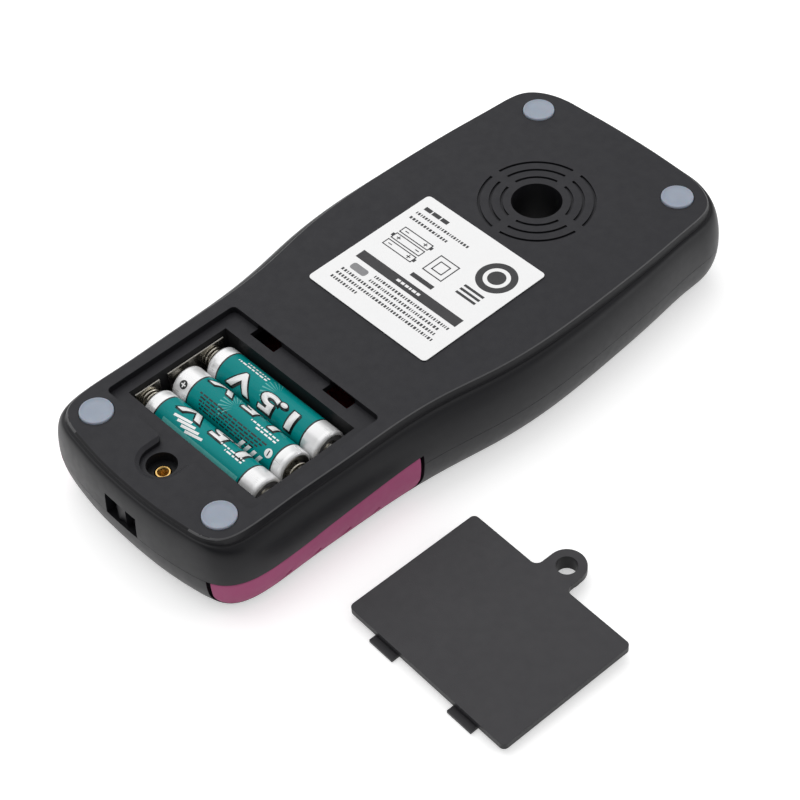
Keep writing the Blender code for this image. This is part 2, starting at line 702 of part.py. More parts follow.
def battery_cover(look):
    """Lid with a bossed screw ear at one edge and two stepped hooks at the other, leaning on boss and hooks."""
    half_x = RECESS_X / 2 - COVER_FIT
    half_y = (RECESS_HEAD_Y - RECESS_TAIL_Y) / 2 - COVER_FIT
    thick = RECESS_DEPTH
    boss_r = COUNTERBORE_R - FIT
    boss_drop = COUNTERBORE_DEPTH - SEAT
    ear_y = -half_y - EAR_REACH - COVER_FIT
    heel = half_y - HOOK_REACH + COVER_FIT
    tip = half_y + HOOK_REACH - COVER_FIT
    cover = prism("battery_cover", rounded_rectangle(0, 0, half_x, half_y, RECESS_ROUND), 0, thick, look)
    join(cover, prism("ear", ear_outline(EAR_R, -half_y, ear_y, EAR_FILLET), 0, thick),
         rod("ear_boss", 0, ear_y, boss_r, -boss_drop, thick / 2, segments=24))
    cut(cover, rod("ear_hole", 0, ear_y, EAR_HOLE_R, -2 * boss_drop, 2 * thick, segments=24))
    for side in (-1, 1):
        left, right = side * HOOK_X - HOOK_WIDTH / 2, side * HOOK_X + HOOK_WIDTH / 2
        join(cover, box("leg", (left, heel, -HOOK_DROP), (right, heel + HOOK_LEG, thick / 2)))
        join(cover, box("hook", (left, heel + HOOK_LEG / 2, -HOOK_DROP), (right, tip, HOOK_THICK - HOOK_DROP)))
    lean = math.atan2(boss_drop - HOOK_DROP, tip - ear_y - boss_r)
    cover.matrix_world = (Matrix.Translation((COVER_FLOOR_X, COVER_FLOOR_Y, 0))
                          @ Matrix.Rotation(COVER_TURN, 4, "Z") @ Matrix.Translation((0, tip, 0))
                          @ Matrix.Rotation(-lean, 4, "X") @ Matrix.Translation((0, -tip, HOOK_DROP)))
    return cover


# Cells and their contacts

def cell_y(k):
    return BAY_Y + (k - 1) * CELL_PITCH


def battery(k, look):
    """Cell turned about its own axis: body with rolled edges and a positive button."""
    edge = CELL_EDGE
    half = CELL_BODY / 2
    profile = ((CELL_R - edge, -half), (CELL_R - 0.3 * edge, -half + 0.3 * edge),
               (CELL_R, -half + edge), (CELL_R, half - edge), (CELL_R - 0.3 * edge, half - 0.3 * edge),
               (CELL_R - edge, half), (CELL_BUTTON_R, half), (CELL_BUTTON_R, half + 0.7 * CELL_BUTTON),
               (CELL_BUTTON_R - 0.3 * CELL_BUTTON, half + CELL_BUTTON))
    cell = turned("battery_%d" % (k + 1), profile, look, segments=24)
    way = CELL_WAYS[k]
    return placed(cell, (way * CELL_SHIFTS[k], cell_y(k), CELL_Z), way * math.pi / 2, "Y")


def contact_plate(name, side, first, last, look):
    """Sheet contact against a bay end wall behind cells first to last, with a bump at each positive button."""
    wall = side * (BAY_HALF_X - SEAT)
    inner = wall - side * PLATE_THICK
    low = CELL_Z - PLATE_WIDTH / 2
    high = SHELF_Z - PLATE_BELOW_SHELF
    plate = box(name, (min(wall, inner), cell_y(first) - PLATE_WIDTH / 2, low),
                (max(wall, inner), cell_y(last) + PLATE_WIDTH / 2, high), look)
    for k in range(first, last + 1):
        if CELL_WAYS[k] == side:
            tip = CELL_SHIFTS[k] + CELL_BODY / 2 + CELL_BUTTON + FIT
            reach = abs(wall) - PLATE_THICK / 2
            bump = turned("bump", ((0.5 * BUMP_R, tip), (0.85 * BUMP_R, tip + (reach - tip) / 4),
                                   (1.3 * BUMP_R, reach)), segments=16)
            join(plate, placed(bump, (0, cell_y(k), CELL_Z), side * math.pi / 2, "Y"))
    return plate


def contact_spring(k, look):
    """Conical coil between a plate and a cell's negative end, with its end turns closed."""
    way = CELL_WAYS[k]
    root = BAY_HALF_X - SEAT - PLATE_THICK - SEAT - SPRING_WIRE
    tip = CELL_BODY / 2 - CELL_SHIFTS[k] + SEAT + SPRING_WIRE
    steps = 14 * SPRING_TURNS
    path = []
    for i in range(steps + 1):
        share = i / steps
        eased = min(max((share * SPRING_TURNS - 0.4) / (SPRING_TURNS - 0.8), 0.0), 1.0)
        r = SPRING_BASE_R + (SPRING_TIP_R - SPRING_BASE_R) * share
        angle = 2 * math.pi * SPRING_TURNS * share
        x = -way * (root + (tip - root) * eased)
        path.append(Vector((x, cell_y(k) + r * math.cos(angle), CELL_Z + r * math.sin(angle))))
    return wire("contact_spring_%d" % (k + 1), path, SPRING_WIRE, look)


def wire(name, path, r, look, sides=5):
    """A round wire along a list of points, with flat ends."""
    loops = []
    for i, point in enumerate(path):
        ahead = (path[min(i + 1, len(path) - 1)] - path[max(i - 1, 0)]).normalized()
        across = ahead.cross(Vector((1, 0, 0))).normalized()
        other = ahead.cross(across).normalized()
        loops.append([point + r * (math.cos(a) * across + math.sin(a) * other)
                      for a in (2 * math.pi * k / sides for k in range(sides))])
    return loft(name, loops, look)


# Small pieces

def cover_insert(look):
    top = INSERT_TOP_Z + SEAT
    foot = INSERT_TOP_Z - INSERT_LENGTH + SEAT
    made = rod("cover_insert", 0, EAR_Y, INSERT_R, foot, top, look, segments=24)
    cut(made, rod("thread", 0, EAR_Y, INSERT_HOLE_R, foot + INSERT_FLOOR, top + WALL, segments=16))
    return made


def foot_pad(k, look):
    """Glide pad with a low raised rim round a dished face."""
    x, y = PAD_SPOTS[k]
    low = PAD_FLOOR_Z + SEAT
    high = BACK_Z + PAD_RISE
    profile = ((PAD_R, low), (PAD_R, high - PAD_DISH), (PAD_R - PAD_DISH, high),
               (PAD_R - PAD_RIM, high), (PAD_R - PAD_RIM - PAD_DISH, high - PAD_DISH))
    return placed(turned("foot_pad_%d" % (k + 1), profile, look, segments=24), (x, y, 0))


def shell_screw(k, look):
    """Pan-head screw under a pad, with a cross recess."""
    x, y = PAD_SPOTS[k]
    profile = ((0.5 * SCREW_R, SCREW_SEAT_Z - SCREW_LENGTH), (SCREW_R, SCREW_SEAT_Z - SCREW_LENGTH + SCREW_R),
               (SCREW_R, SCREW_SEAT_Z), (SCREW_HEAD_R, SCREW_SEAT_Z),
               (SCREW_HEAD_R, SCREW_TOP_Z - 0.3 * SCREW_HEAD), (0.7 * SCREW_HEAD_R, SCREW_TOP_Z))
    screw = turned("shell_screw_%d" % (k + 1), profile, look, segments=12)
    for wide, deep in ((0.8, 0.16), (0.16, 0.8)):
        cut(screw, box("slot", (-wide * SCREW_R, -deep * SCREW_R, SCREW_TOP_Z - 0.5 * SCREW_HEAD),
                       (wide * SCREW_R, deep * SCREW_R, SCREW_TOP_Z + SCREW_HEAD)))
    return placed(screw, (x, y, 0))


def key(spec, look):
    """Key cap with a flange behind the front wall and a short stem towards its switch."""
    name, x, y, half_x, half_y, corner = spec
    flange_low = FRONT_WALL + FIT
    flange_high = flange_low + KEY_FLANGE_THICK
    levels = ((KEY_SUNK, -KEY_EDGE), (KEY_SUNK + KEY_EDGE, 0), (flange_low, 0), (flange_low, KEY_FLANGE),
              (flange_high, KEY_FLANGE))
    loops = [[(px, py, z) for px, py in rounded_rectangle(0, 0, half_x + out, half_y + out, corner + out)]
             for z, out in levels]
    made = loft("key_" + name, loops, look)
    stem_top = SWITCH_BUTTON_Z - FIT - KEY_TRAVEL
    join(made, rod("stem", 0, 0, KEY_STEM_R, flange_high - KEY_FLANGE_THICK / 2, stem_top, segments=20))
    return placed(made, (x, y, 0))


def switch(k, look):
    """Press switch under the main board, behind key k."""
    top = BOARD_Z - SEAT
    body = box("switch_%d" % (k + 1), (-SWITCH_HALF, -SWITCH_HALF, top - SWITCH_BODY),
               (SWITCH_HALF, SWITCH_HALF, top), look)
    join(body, rod("button", 0, 0, SWITCH_BUTTON_R, SWITCH_BUTTON_Z, top - SWITCH_BODY / 2, segments=16))
    return placed(body, (KEYS[k][1], KEYS[k][2], 0))


def display(clear, screen):
    """Window glued in its seat in the front face, and the display behind it."""
    half_x = WINDOW_HALF_X + LENS_LEDGE - FIT
    half_y = WINDOW_HALF_Y + LENS_LEDGE - FIT
    prism("display_lens", rounded_rectangle(0, WINDOW_Y, half_x, half_y, LENS_LEDGE - FIT),
          LENS_SUNK, LENS_SUNK + LENS_THICK, clear)
    half_x = WINDOW_HALF_X + PANEL_MARGIN
    half_y = WINDOW_HALF_Y + PANEL_MARGIN
    low = FRONT_WALL + SEAT
    box("display_panel", (-half_x, WINDOW_Y - half_y, low), (half_x, WINDOW_Y + half_y, low + PANEL_THICK),
        screen)


def sensor_board(look):
    high = CEILING_Z - SENSOR_BELOW_WALL
    made = box("sensor_board", (-SENSOR_HALF_X, SENSOR_TAIL_Y, high - SENSOR_THICK),
               (SENSOR_HALF_X, SENSOR_HEAD_Y, high), look)
    cut(made, rod("tube_way", 0, HOLE_Y, TUBE_R + FIT, high - 2 * SENSOR_THICK, high + SENSOR_THICK))
    return made


def build():
    for old in list(bpy.data.objects):
        bpy.data.objects.remove(old)

    housing = material("housing", (0.045, 0.045, 0.048), 0.55)
    magenta = material("grip", (0.26, 0.065, 0.13), 0.6)
    pad = material("pad", (0.42, 0.47, 0.53), 0.35)
    paper = material("label", (0.90, 0.90, 0.90), 0.5)
    wrap = material("cell_wrap", (0.0, 0.30, 0.27), 0.3)
    nickel = material("nickel", (0.75, 0.72, 0.65), 0.25, 1.0)
    steel = material("spring_steel", (0.70, 0.68, 0.62), 0.3, 1.0)
    brass = material("brass", (0.75, 0.55, 0.22), 0.3, 1.0)
    clear = material("window", (0.05, 0.05, 0.05), 0.1)
    screen = material("display", (0.20, 0.23, 0.20), 0.3)
    rubber = material("key", (0.10, 0.10, 0.11), 0.6)
    diffuser = material("light_ring", (0.80, 0.80, 0.80), 0.3)
    mask = material("board", (0.25, 0.02, 0.02), 0.5)
    copper = material("coil", (0.70, 0.35, 0.18), 0.35, 1.0)
    black = material("black_plastic", (0.02, 0.02, 0.02), 0.5)
    zinc = material("screw", (0.60, 0.60, 0.62), 0.35, 1.0)

    back_shell(housing)
    front_shell(housing)
    right = grip(magenta)
    mirrored(right, "grip_left", magenta)
    battery_cover(housing)
    for k in range(3):
        battery(k, wrap)
        contact_spring(k, steel)
    contact_plate("contact_plate_short", -1, 0, 0, nickel)
    contact_plate("contact_plate_long", -1, 1, 2, nickel)
    contact_plate("contact_plate_link", 1, 0, 1, nickel)
    contact_plate("contact_plate_single", 1, 2, 2, nickel)
    cover_insert(brass)
    for k in range(len(PAD_SPOTS)):
        foot_pad(k, pad)
        shell_screw(k, zinc)
    prism("rating_label", rounded_rectangle(0, LABEL_Y, LABEL_HALF, LABEL_HALF, LABEL_ROUND),
          BACK_Z + SEAT, BACK_Z + SEAT + LABEL_THICK, paper)

    display(clear, screen)
    for k, spec in enumerate(KEYS):
        key(spec, rubber)
        switch(k, black)
    washer("light_ring", 0, HOLE_Y, HOLE_R + SEAT, LIGHT_RING_R, LIGHT_RING_SUNK,
           LIGHT_RING_SUNK + LIGHT_RING_THICK, diffuser)
    board_top = BOARD_Z + BOARD_THICK
    box("main_board", (-BOARD_HALF_X, BOARD_TAIL_Y, BOARD_Z), (BOARD_HALF_X, BOARD_HEAD_Y, board_top), mask)
    rod("buzzer", 0, BUZZER_Y, BUZZER_R, board_top + SEAT, board_top + SEAT + BUZZER_THICK, black)
    sensor_board(mask)
    coil_top = CEILING_Z - SENSOR_BELOW_WALL - SENSOR_THICK - SEAT
    washer("sensor_coil", 0, HOLE_Y, TUBE_R + FIT, COIL_R, coil_top - COIL_THICK, coil_top, copper)

    for thing in bpy.data.objects:
        thing.data.shade_smooth()
        thing.data.set_sharp_from_angle(angle=SHARP_FROM)


build()
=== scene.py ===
import math

import bmesh
import bpy
import numpy as np
from mathutils import Matrix, Vector


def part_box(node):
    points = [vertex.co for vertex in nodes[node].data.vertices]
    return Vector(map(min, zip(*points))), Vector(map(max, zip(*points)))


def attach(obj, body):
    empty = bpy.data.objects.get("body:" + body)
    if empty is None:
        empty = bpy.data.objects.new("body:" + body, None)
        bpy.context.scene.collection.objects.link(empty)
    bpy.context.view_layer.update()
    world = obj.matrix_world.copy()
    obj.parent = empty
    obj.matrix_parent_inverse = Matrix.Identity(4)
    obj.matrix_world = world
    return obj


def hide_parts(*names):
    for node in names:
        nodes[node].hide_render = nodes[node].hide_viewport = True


# Looks of a wall scanner that lies face down, with its battery cover off beside it.
# +X runs across the tool, +Y along it to the head, +Z up out of its flat back.
# Sizes in the dictionaries are millimetres and degrees; makePiece turns them into metres.

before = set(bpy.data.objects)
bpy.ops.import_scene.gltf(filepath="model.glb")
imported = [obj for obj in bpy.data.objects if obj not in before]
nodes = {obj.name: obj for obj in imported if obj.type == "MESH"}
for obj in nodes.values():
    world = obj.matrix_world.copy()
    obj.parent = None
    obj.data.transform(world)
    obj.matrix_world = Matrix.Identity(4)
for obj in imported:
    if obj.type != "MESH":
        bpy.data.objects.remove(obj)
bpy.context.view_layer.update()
mm = 0.001
print("frame loaded:", len(nodes), "nodes")


# Mesh helpers

def link(name, data):
    thing = bpy.data.objects.new(name, data)
    bpy.context.collection.objects.link(thing)
    return thing


def dress(piece, *names):
    if piece.data.materials:
        piece.data.materials.clear()
    for name in names:
        piece.data.materials.append(finishes[name])


# Mesh of points in millimetres, its faces turned outwards.
def makePiece(name, points, faces, finish=None):
    mesh = bpy.data.meshes.new(name)
    mesh.from_pydata((np.asarray(points, float) * mm).tolist(), [], faces)
    work = bmesh.new()
    work.from_mesh(mesh)
    bmesh.ops.recalc_face_normals(work, faces=work.faces)
    work.to_mesh(mesh)
    work.free()
    piece = link(name, mesh)
    if finish:
        dress(piece, finish)
    return piece


# Point i of ring k joins point i + 1 and the same two points of ring k + 1; a flat cap closes each end.
def loft(name, rings, finish=None, closed=False):
    rings = np.asarray(rings, float)
    levels, count, _ = rings.shape
    i = np.arange(count)
    j = (i + 1) % count
    k = np.arange(levels if closed else levels - 1)[:, None]
    here, above = k * count, (k + 1) % levels * count
    faces = np.stack([here + i, here + j, above + j, above + i], axis=-1).reshape(-1, 4).tolist()
    if not closed:
        faces += [list(range(count)), list(range((levels - 1) * count, levels * count))]
    return makePiece(name, rings.reshape(-1, 3), faces, finish)


def fullTurn(segments):
    return np.linspace(0, 2 * np.pi, segments, endpoint=False)


# A radius r and height z of the profile become the ring (x + r cos a, y + r sin a, z).
def turned(name, profile, place, segments, finish, closed=False):
    angle = fullTurn(segments)
    r, z = (column[:, None] for column in np.asarray(profile, float).T)
    rings = np.stack([place[0] + r * np.cos(angle), place[1] + r * np.sin(angle), z + 0 * angle], axis=-1)
    return loft(name, rings, finish, closed)


def atHeight(outline, z):
    return np.column_stack([np.asarray(outline, float), np.full(len(outline), z)])


def prism(name, outline, low, high, finish=None):
    return loft(name, [atHeight(outline, low), atHeight(outline, high)], finish)


def rectangle(x0, x1, y0, y1):
    return [(x0, y0), (x1, y0), (x1, y1), (x0, y1)]


# Each corner is a quarter circle about a point its radius inside the two sides.
def roundedRectangle(x, y, halfX, halfY, corner, steps=8):
    angle = np.radians(np.linspace(0, 90, steps + 1) + np.arange(0, 360, 90)[:, None]).ravel()
    signX, signY = (np.repeat(signs, steps + 1) for signs in ([1, -1, -1, 1], [1, 1, -1, -1]))
    return np.column_stack([x + signX * (halfX - corner) + corner * np.cos(angle),
                            y + signY * (halfY - corner) + corner * np.sin(angle)])


def circle(x, y, r, segments=64):
    return np.column_stack([x + r * np.cos(fullTurn(segments)), y + r * np.sin(fullTurn(segments))])


def rod(name, x, y, r, low, high, segments=64):
    return prism(name, circle(x, y, r, segments), low, high)


# Block about the line x, from y0 to y1 and from z0 to z1.
def block(name, halfX, y0, y1, z0, z1, x=0):
    return prism(name, rectangle(x - halfX, x + halfX, y0, y1), z0, z1)


def finalMesh(thing):
    bpy.context.view_layer.update()
    return bpy.data.meshes.new_from_object(thing.evaluated_get(bpy.context.evaluated_depsgraph_get()))


def applyModifiers(piece):
    shaped = finalMesh(piece)
    piece.modifiers.clear()
    piece.data = shaped
    return piece


def combine(operation, piece, tools):
    for tool in tools:
        step = piece.modifiers.new(operation, "BOOLEAN")
        step.operation, step.solver, step.object = operation, "MANIFOLD", tool
    applyModifiers(piece)
    for tool in tools:
        bpy.data.objects.remove(tool)
    return piece


def join(piece, *tools):
    return combine("UNION", piece, tools)


def cut(piece, *tools):
    return combine("DIFFERENCE", piece, tools)


def smooth(piece, sharpFrom):
    piece.data.shade_smooth()
    piece.data.set_sharp_from_angle(angle=math.radians(sharpFrom))
    return piece


# Rounds the sharp outer edges that the test picks, and gives flat faces normals that stay flat.
def soften(piece, width, test=lambda edge: True, segments=3):
    work = bmesh.new()
    work.from_mesh(piece.data)
    bmesh.ops.dissolve_degenerate(work, dist=1e-7, edges=work.edges)
    layers = work.edges.layers.float
    weights = layers.get("bevel_weight_edge") or layers.new("bevel_weight_edge")
    limit = math.radians(30)
    for edge in work.edges:
        sharp = edge.is_convex and len(edge.link_faces) == 2 and edge.calc_face_angle(0) > limit
        edge[weights] = float(sharp and test(edge))
    work.to_mesh(piece.data)
    work.free()
    if width:
        bevel = piece.modifiers.new("bevel", "BEVEL")
        bevel.width, bevel.segments, bevel.limit_method = width * mm, segments, "WEIGHT"
        applyModifiers(piece)
    smooth(piece, 40)
    piece.modifiers.new("normals", "WEIGHTED_NORMAL").keep_sharp = True
    return applyModifiers(piece)


def moved(piece, matrix):
    piece.data.transform(matrix)
    return piece


def placeOn(piece, slot, *replaced, body="housing"):
    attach(piece, body)
    if replaced:
        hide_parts(*replaced)
    return piece


# Finishes

def feed(tree, socket, value):
    if isinstance(value, bpy.types.NodeSocket):
        tree.links.new(value, socket)
    else:
        socket.default_value = value


def fill(tree, node, **inputs):
    for key, value in inputs.items():
        feed(tree, node.inputs[key.replace("_", " ")], value)
    return node


def put(tree, kind, **inputs):
    return fill(tree, tree.nodes.new("ShaderNode" + kind), **inputs)


# Mix of a and b by the factor, as colours or as numbers.
def mixed(tree, factor, a, b, kind="RGBA"):
    node = put(tree, "Mix")
    node.data_type = kind
    first, result = {"RGBA": (6, 2), "FLOAT": (2, 0)}[kind]
    for k, value in ((0, factor), (first, a), (first + 1, b)):
        feed(tree, node.inputs[k], value)
    return node.outputs[result]


# 1 for a ray of either kind.
def eitherRay(tree, *kinds):
    path, node = put(tree, "LightPath"), put(tree, "Math")
    node.operation = "MAXIMUM"
    for k, kind in enumerate(kinds):
        feed(tree, node.inputs[k], path.outputs["Is %s Ray" % kind])
    return node.outputs[0]


# Two tones mixed by a broad noise, a roughness that wanders, and a fine grain as bump. Scales are per
# millimetre.
def makeFinish(name, tones, rough, scale=0.15, stretch=(1, 1, 1), speck=None, grain=None, metallic=0.0,
               specular=0.5, coat=0.0, subsurface=0.0):
    made = bpy.data.materials.new(name)
    made.use_nodes = True
    tree = made.node_tree
    where = put(tree, "Mapping", Vector=put(tree, "TexCoord").outputs["Object"],
                Scale=[1000 * s for s in stretch])

    def noise(scale, detail):
        node = put(tree, "TexNoise", Vector=where.outputs["Vector"], Scale=scale, Detail=detail)
        return node.outputs["Fac"]

    colour = mixed(tree, noise(scale, 4.0), *((*tone, 1.0) for tone in tones))
    if speck:
        amount = put(tree, "MapRange", Value=noise(speck["scale"], 2.0), From_Min=speck["start"],
                     From_Max=speck["start"] + 0.06, To_Max=speck["strength"])
        colour = mixed(tree, amount.outputs["Result"], colour, (*speck["colour"], 1.0))
    wander = put(tree, "MapRange", Value=noise(0.4, 3.0), From_Min=0.3, From_Max=0.7, To_Min=rough[0],
                 To_Max=rough[1])
    shader = fill(tree, tree.nodes["Principled BSDF"], Base_Color=colour, Roughness=wander.outputs["Result"],
                  Metallic=metallic, Specular_IOR_Level=specular, Coat_Weight=coat, Coat_Roughness=0.1)
    if grain:
        size, depth = grain
        bump = put(tree, "Bump", Height=noise(size, 3.0), Distance=depth * mm)
        fill(tree, shader, Normal=bump.outputs["Normal"])
    if subsurface:
        fill(tree, shader, Subsurface_Weight=subsurface, Subsurface_Scale=0.001)
    return made


# grain is the scale and the depth of the bump
finishes = dict(
    backPlastic=dict(tones=((0.0185, 0.0185, 0.0225), (0.0215, 0.0212, 0.0255)), rough=(0.5, 0.6),
        scale=0.05, grain=(4.5, 0.03), specular=0.3,
        speck=dict(scale=0.9, start=0.8, strength=0.5, colour=(0.08, 0.08, 0.08))),
    sidePlastic=dict(tones=((0.0075, 0.0075, 0.0092), (0.0095, 0.0095, 0.0115)), rough=(0.38, 0.44),
        scale=0.06, specular=0.26),
    # Lighter plastic on the top of the ridge's round, which stands for a painted highlight.
    paintedRidgeHighlight=dict(tones=((0.06, 0.06, 0.063), (0.085, 0.085, 0.088)), rough=(0.34, 0.4), scale=0.06,
        specular=0.4),
    innerPlastic=dict(tones=((0.012, 0.012, 0.013), (0.016, 0.016, 0.017)), rough=(0.42, 0.55),
        grain=(5.0, 0.01), specular=0.22),
    coverPlastic=dict(tones=((0.046, 0.045, 0.049), (0.052, 0.051, 0.055)), rough=(0.5, 0.62), scale=0.05,
        grain=(4.5, 0.03), specular=0.3),
    softGrip=dict(tones=((0.34, 0.068, 0.165), (0.378, 0.08, 0.187)), rough=(0.55, 0.68), scale=0.2,
        grain=(5.0, 0.02), specular=0.25),
    padRubber=dict(tones=((0.3, 0.345, 0.425), (0.365, 0.41, 0.49)), rough=(0.3, 0.42), scale=0.35,
        grain=(4.0, 0.012), specular=0.4, subsurface=0.25),
    labelPaper=dict(tones=((0.97, 0.97, 0.975), (0.99, 0.99, 0.99)), rough=(0.38, 0.5), scale=0.3,
        grain=(3.0, 0.006), specular=0.4),
    labelInk=dict(tones=((0.04, 0.04, 0.043), (0.06, 0.06, 0.063)), rough=(0.45, 0.55), scale=2.0,
        specular=0.3),
    labelGrey=dict(tones=((0.22, 0.22, 0.23), (0.3, 0.3, 0.31)), rough=(0.45, 0.55), scale=2.0),
    cellWrap=dict(tones=((0.0, 0.205, 0.205), (0.002, 0.3, 0.295)), rough=(0.22, 0.3), scale=0.12,
        stretch=(0.35, 1.2, 1.2), grain=(2.0, 0.003), specular=0.12),
    cellBand=dict(tones=((0.84, 0.84, 0.85), (0.95, 0.95, 0.95)), rough=(0.26, 0.34), scale=0.25,
        stretch=(0.3, 1.5, 1.5), grain=(2.0, 0.002), metallic=0.35),
    cellLine=dict(tones=((0.004, 0.008, 0.008), (0.007, 0.012, 0.012)), rough=(0.25, 0.35)),
    cellSteel=dict(tones=((0.42, 0.41, 0.39), (0.6, 0.59, 0.56)), rough=(0.22, 0.38), scale=0.8,
        metallic=1.0, grain=(3.0, 0.01)),
    cellSeal=dict(tones=((0.1, 0.1, 0.11), (0.17, 0.17, 0.18)), rough=(0.35, 0.5), scale=1.0),
    whiteInk=dict(tones=((0.96, 0.96, 0.96), (0.99, 0.99, 0.99)), rough=(0.25, 0.35), scale=0.5),
    # Pale teal for the printed rays, and for the sheen painted along the first cell.
    paleInkAndSheen=dict(tones=((0.075, 0.42, 0.4), (0.13, 0.5, 0.47)), rough=(0.25, 0.35), scale=0.5),
    darkInk=dict(tones=((0.006, 0.01, 0.01), (0.01, 0.015, 0.015)), rough=(0.25, 0.35), scale=0.5),
    nickel=dict(tones=((0.66, 0.64, 0.58), (0.76, 0.74, 0.68)), rough=(0.2, 0.28), scale=0.6,
        stretch=(1, 0.3, 1), metallic=1.0, grain=(6.0, 0.002)),
    # Bright and only half metallic: the painted highlight along the top edges of the contact plates.
    plateHighlight=dict(tones=((0.8, 0.77, 0.7), (0.9, 0.88, 0.82)), rough=(0.3, 0.4), scale=0.6, metallic=0.3,
        specular=0.6),
    springSteel=dict(tones=((0.6, 0.56, 0.48), (0.78, 0.75, 0.68)), rough=(0.14, 0.26), scale=1.2,
        metallic=1.0, grain=(8.0, 0.002)),
    brass=dict(tones=((0.66, 0.4, 0.12), (0.86, 0.58, 0.22)), rough=(0.2, 0.32), scale=1.2, metallic=1.0,
        grain=(6.0, 0.006)),
    zinc=dict(tones=((0.42, 0.43, 0.45), (0.6, 0.61, 0.63)), rough=(0.25, 0.4), scale=0.8, metallic=1.0,
        grain=(6.0, 0.006)),
    windowGloss=dict(tones=((0.01, 0.011, 0.012), (0.014, 0.015, 0.016)), rough=(0.05, 0.09), scale=0.1,
        coat=0.6),
    displayGlass=dict(tones=((0.17, 0.2, 0.16), (0.21, 0.24, 0.2)), rough=(0.12, 0.2), scale=0.2),
    keyRubber=dict(tones=((0.045, 0.045, 0.05), (0.06, 0.06, 0.066)), rough=(0.5, 0.62), scale=0.4,
        grain=(5.0, 0.015), specular=0.35),
    ringDiffuser=dict(tones=((0.62, 0.63, 0.64), (0.72, 0.73, 0.74)), rough=(0.3, 0.42), scale=0.5,
        grain=(3.0, 0.01), subsurface=0.3),
    boardMask=dict(tones=((0.16, 0.01, 0.012), (0.24, 0.018, 0.02)), rough=(0.3, 0.42), scale=0.6,
        grain=(2.5, 0.02), speck=dict(scale=0.35, start=0.6, strength=1.0, colour=(0.1, 0.006, 0.008))),
    coilCopper=dict(tones=((0.5, 0.2, 0.08), (0.72, 0.34, 0.16)), rough=(0.25, 0.4), scale=0.8, metallic=1.0,
        stretch=(0.4, 0.4, 4.0), grain=(3.0, 0.03)),
    blackMoulding=dict(tones=((0.014, 0.014, 0.015), (0.022, 0.022, 0.024)), rough=(0.4, 0.52), scale=0.4,
        grain=(5.0, 0.015)),
    floorPaper=dict(tones=((0.96, 0.96, 0.96),) * 2, rough=(0.9, 0.95), specular=0.1),
    cardBlack=dict(tones=((0.02, 0.02, 0.02),) * 2, rough=(0.9, 0.95)),
)
finishes = {name: makeFinish(name, **look) for name, look in finishes.items()}
print("finishes made:", len(finishes))


# Housing outline

# Each ridge point is x, y and how far the side swells out past the ridge there.
housing = dict(
    back=26.0, widest=13.0, seam=12.7, seamGap=0.05,       # heights above the table
    stepSide=2.2, stepEnd=1.0, stepOut=0.9, undercut=6.3,  # step outside the ridge, and the draw to the front
    edgeRound=0.45, endRound=1.3,                          # round of the back's edge, and at the tail end
    wall=2.2, backWall=2.4, frontWall=2.0, lip=1.5, lipRise=1.7, lipRoot=3.0, fit=0.3, seat=0.2,
    turnStep=2.5, lengthStep=3.0,                          # facets of the outline, in degrees and millimetres
    ridge=((10.0, -76.6, 3.0), (20.1, -75.1, 3.1), (27.5, -74.4, 2.4), (32.9, -69.4, 5.1), (32.0, -50.0, 5.3),
           (32.9, -33.0, 5.0), (32.6, -16.1, 5.9), (33.9, 0.1, 6.7), (37.8, 16.0, 6.1), (39.3, 34.0, 5.6),
           (39.0, 54.0, 4.8), (38.3, 74.1, 4.1), (36.8, 89.9, 3.4), (36.6, 101.2, 4.6), (26.6, 106.0, 1.5),
           (20.0, 105.9, 1.4), (10.0, 106.7, 1.5)),
)
backZ, widestZ, seamZ, frontWall, wall, fit, seat = (
    housing[key] for key in ("back", "widest", "seam", "frontWall", "wall", "fit", "seat"))
ridgePoints = np.array(housing["ridge"] + tuple((-x, y, swell) for x, y, swell in reversed(housing["ridge"])))
ceilingZ = backZ - housing["backWall"]
rootZ = backZ - 0.4 * housing["backWall"]
over = backZ + wall


# Closed cubic B-spline: each value is four neighbours weighted by cubics of the share t.
def splineAt(u):
    i = np.floor(u).astype(int)
    t = (u - i)[:, None]
    weights = ((1 - t) ** 3, 3 * t ** 3 - 6 * t ** 2 + 4, -3 * t ** 3 + 3 * t ** 2 + 3 * t + 1, t ** 3)
    return sum(weights[k] * ridgePoints[(i + k - 1) % len(ridgePoints)] for k in range(4)) / 6


def ridgeAt(u):
    return splineAt(u)[:, :2]


def ridgeNormal(u):
    ahead = ridgeAt(u + 0.01) - ridgeAt(u - 0.01)
    ahead /= np.linalg.norm(ahead, axis=1)[:, None]
    return np.column_stack([ahead[:, 1], -ahead[:, 0]])


# The step's depth goes from the end's to the side's with the square of the normal's x.
def shoulderAt(u):
    return backZ - housing["stepEnd"] - (housing["stepSide"] - housing["stepEnd"]) * ridgeNormal(u)[:, 0] ** 2


# The ridge's outline pushed outwards, at the height z.
def outlineRing(u, z, outward):
    return np.column_stack([ridgeAt(u) + ridgeNormal(u) * np.asarray(outward).reshape(-1, 1), z + 0 * u])


# Quarter ellipse up from the widest line to the shoulder, and another down to the front face.
def wallRing(u, z, outward=0.0):
    z = np.broadcast_to(np.asarray(z, float), u.shape)
    swell = splineAt(u)[:, 2]
    rise = np.clip((z - widestZ) / (shoulderAt(u) - widestZ), 0, 1)
    drop = np.clip(1 - z / widestZ, 0, 1)
    above = housing["stepOut"] + (swell - housing["stepOut"]) * np.sqrt(1 - rise ** 2)
    below = swell - housing["undercut"] * (1 - np.sqrt(1 - drop ** 2))
    return outlineRing(u, z, np.where(z >= widestZ, above, below) + outward)


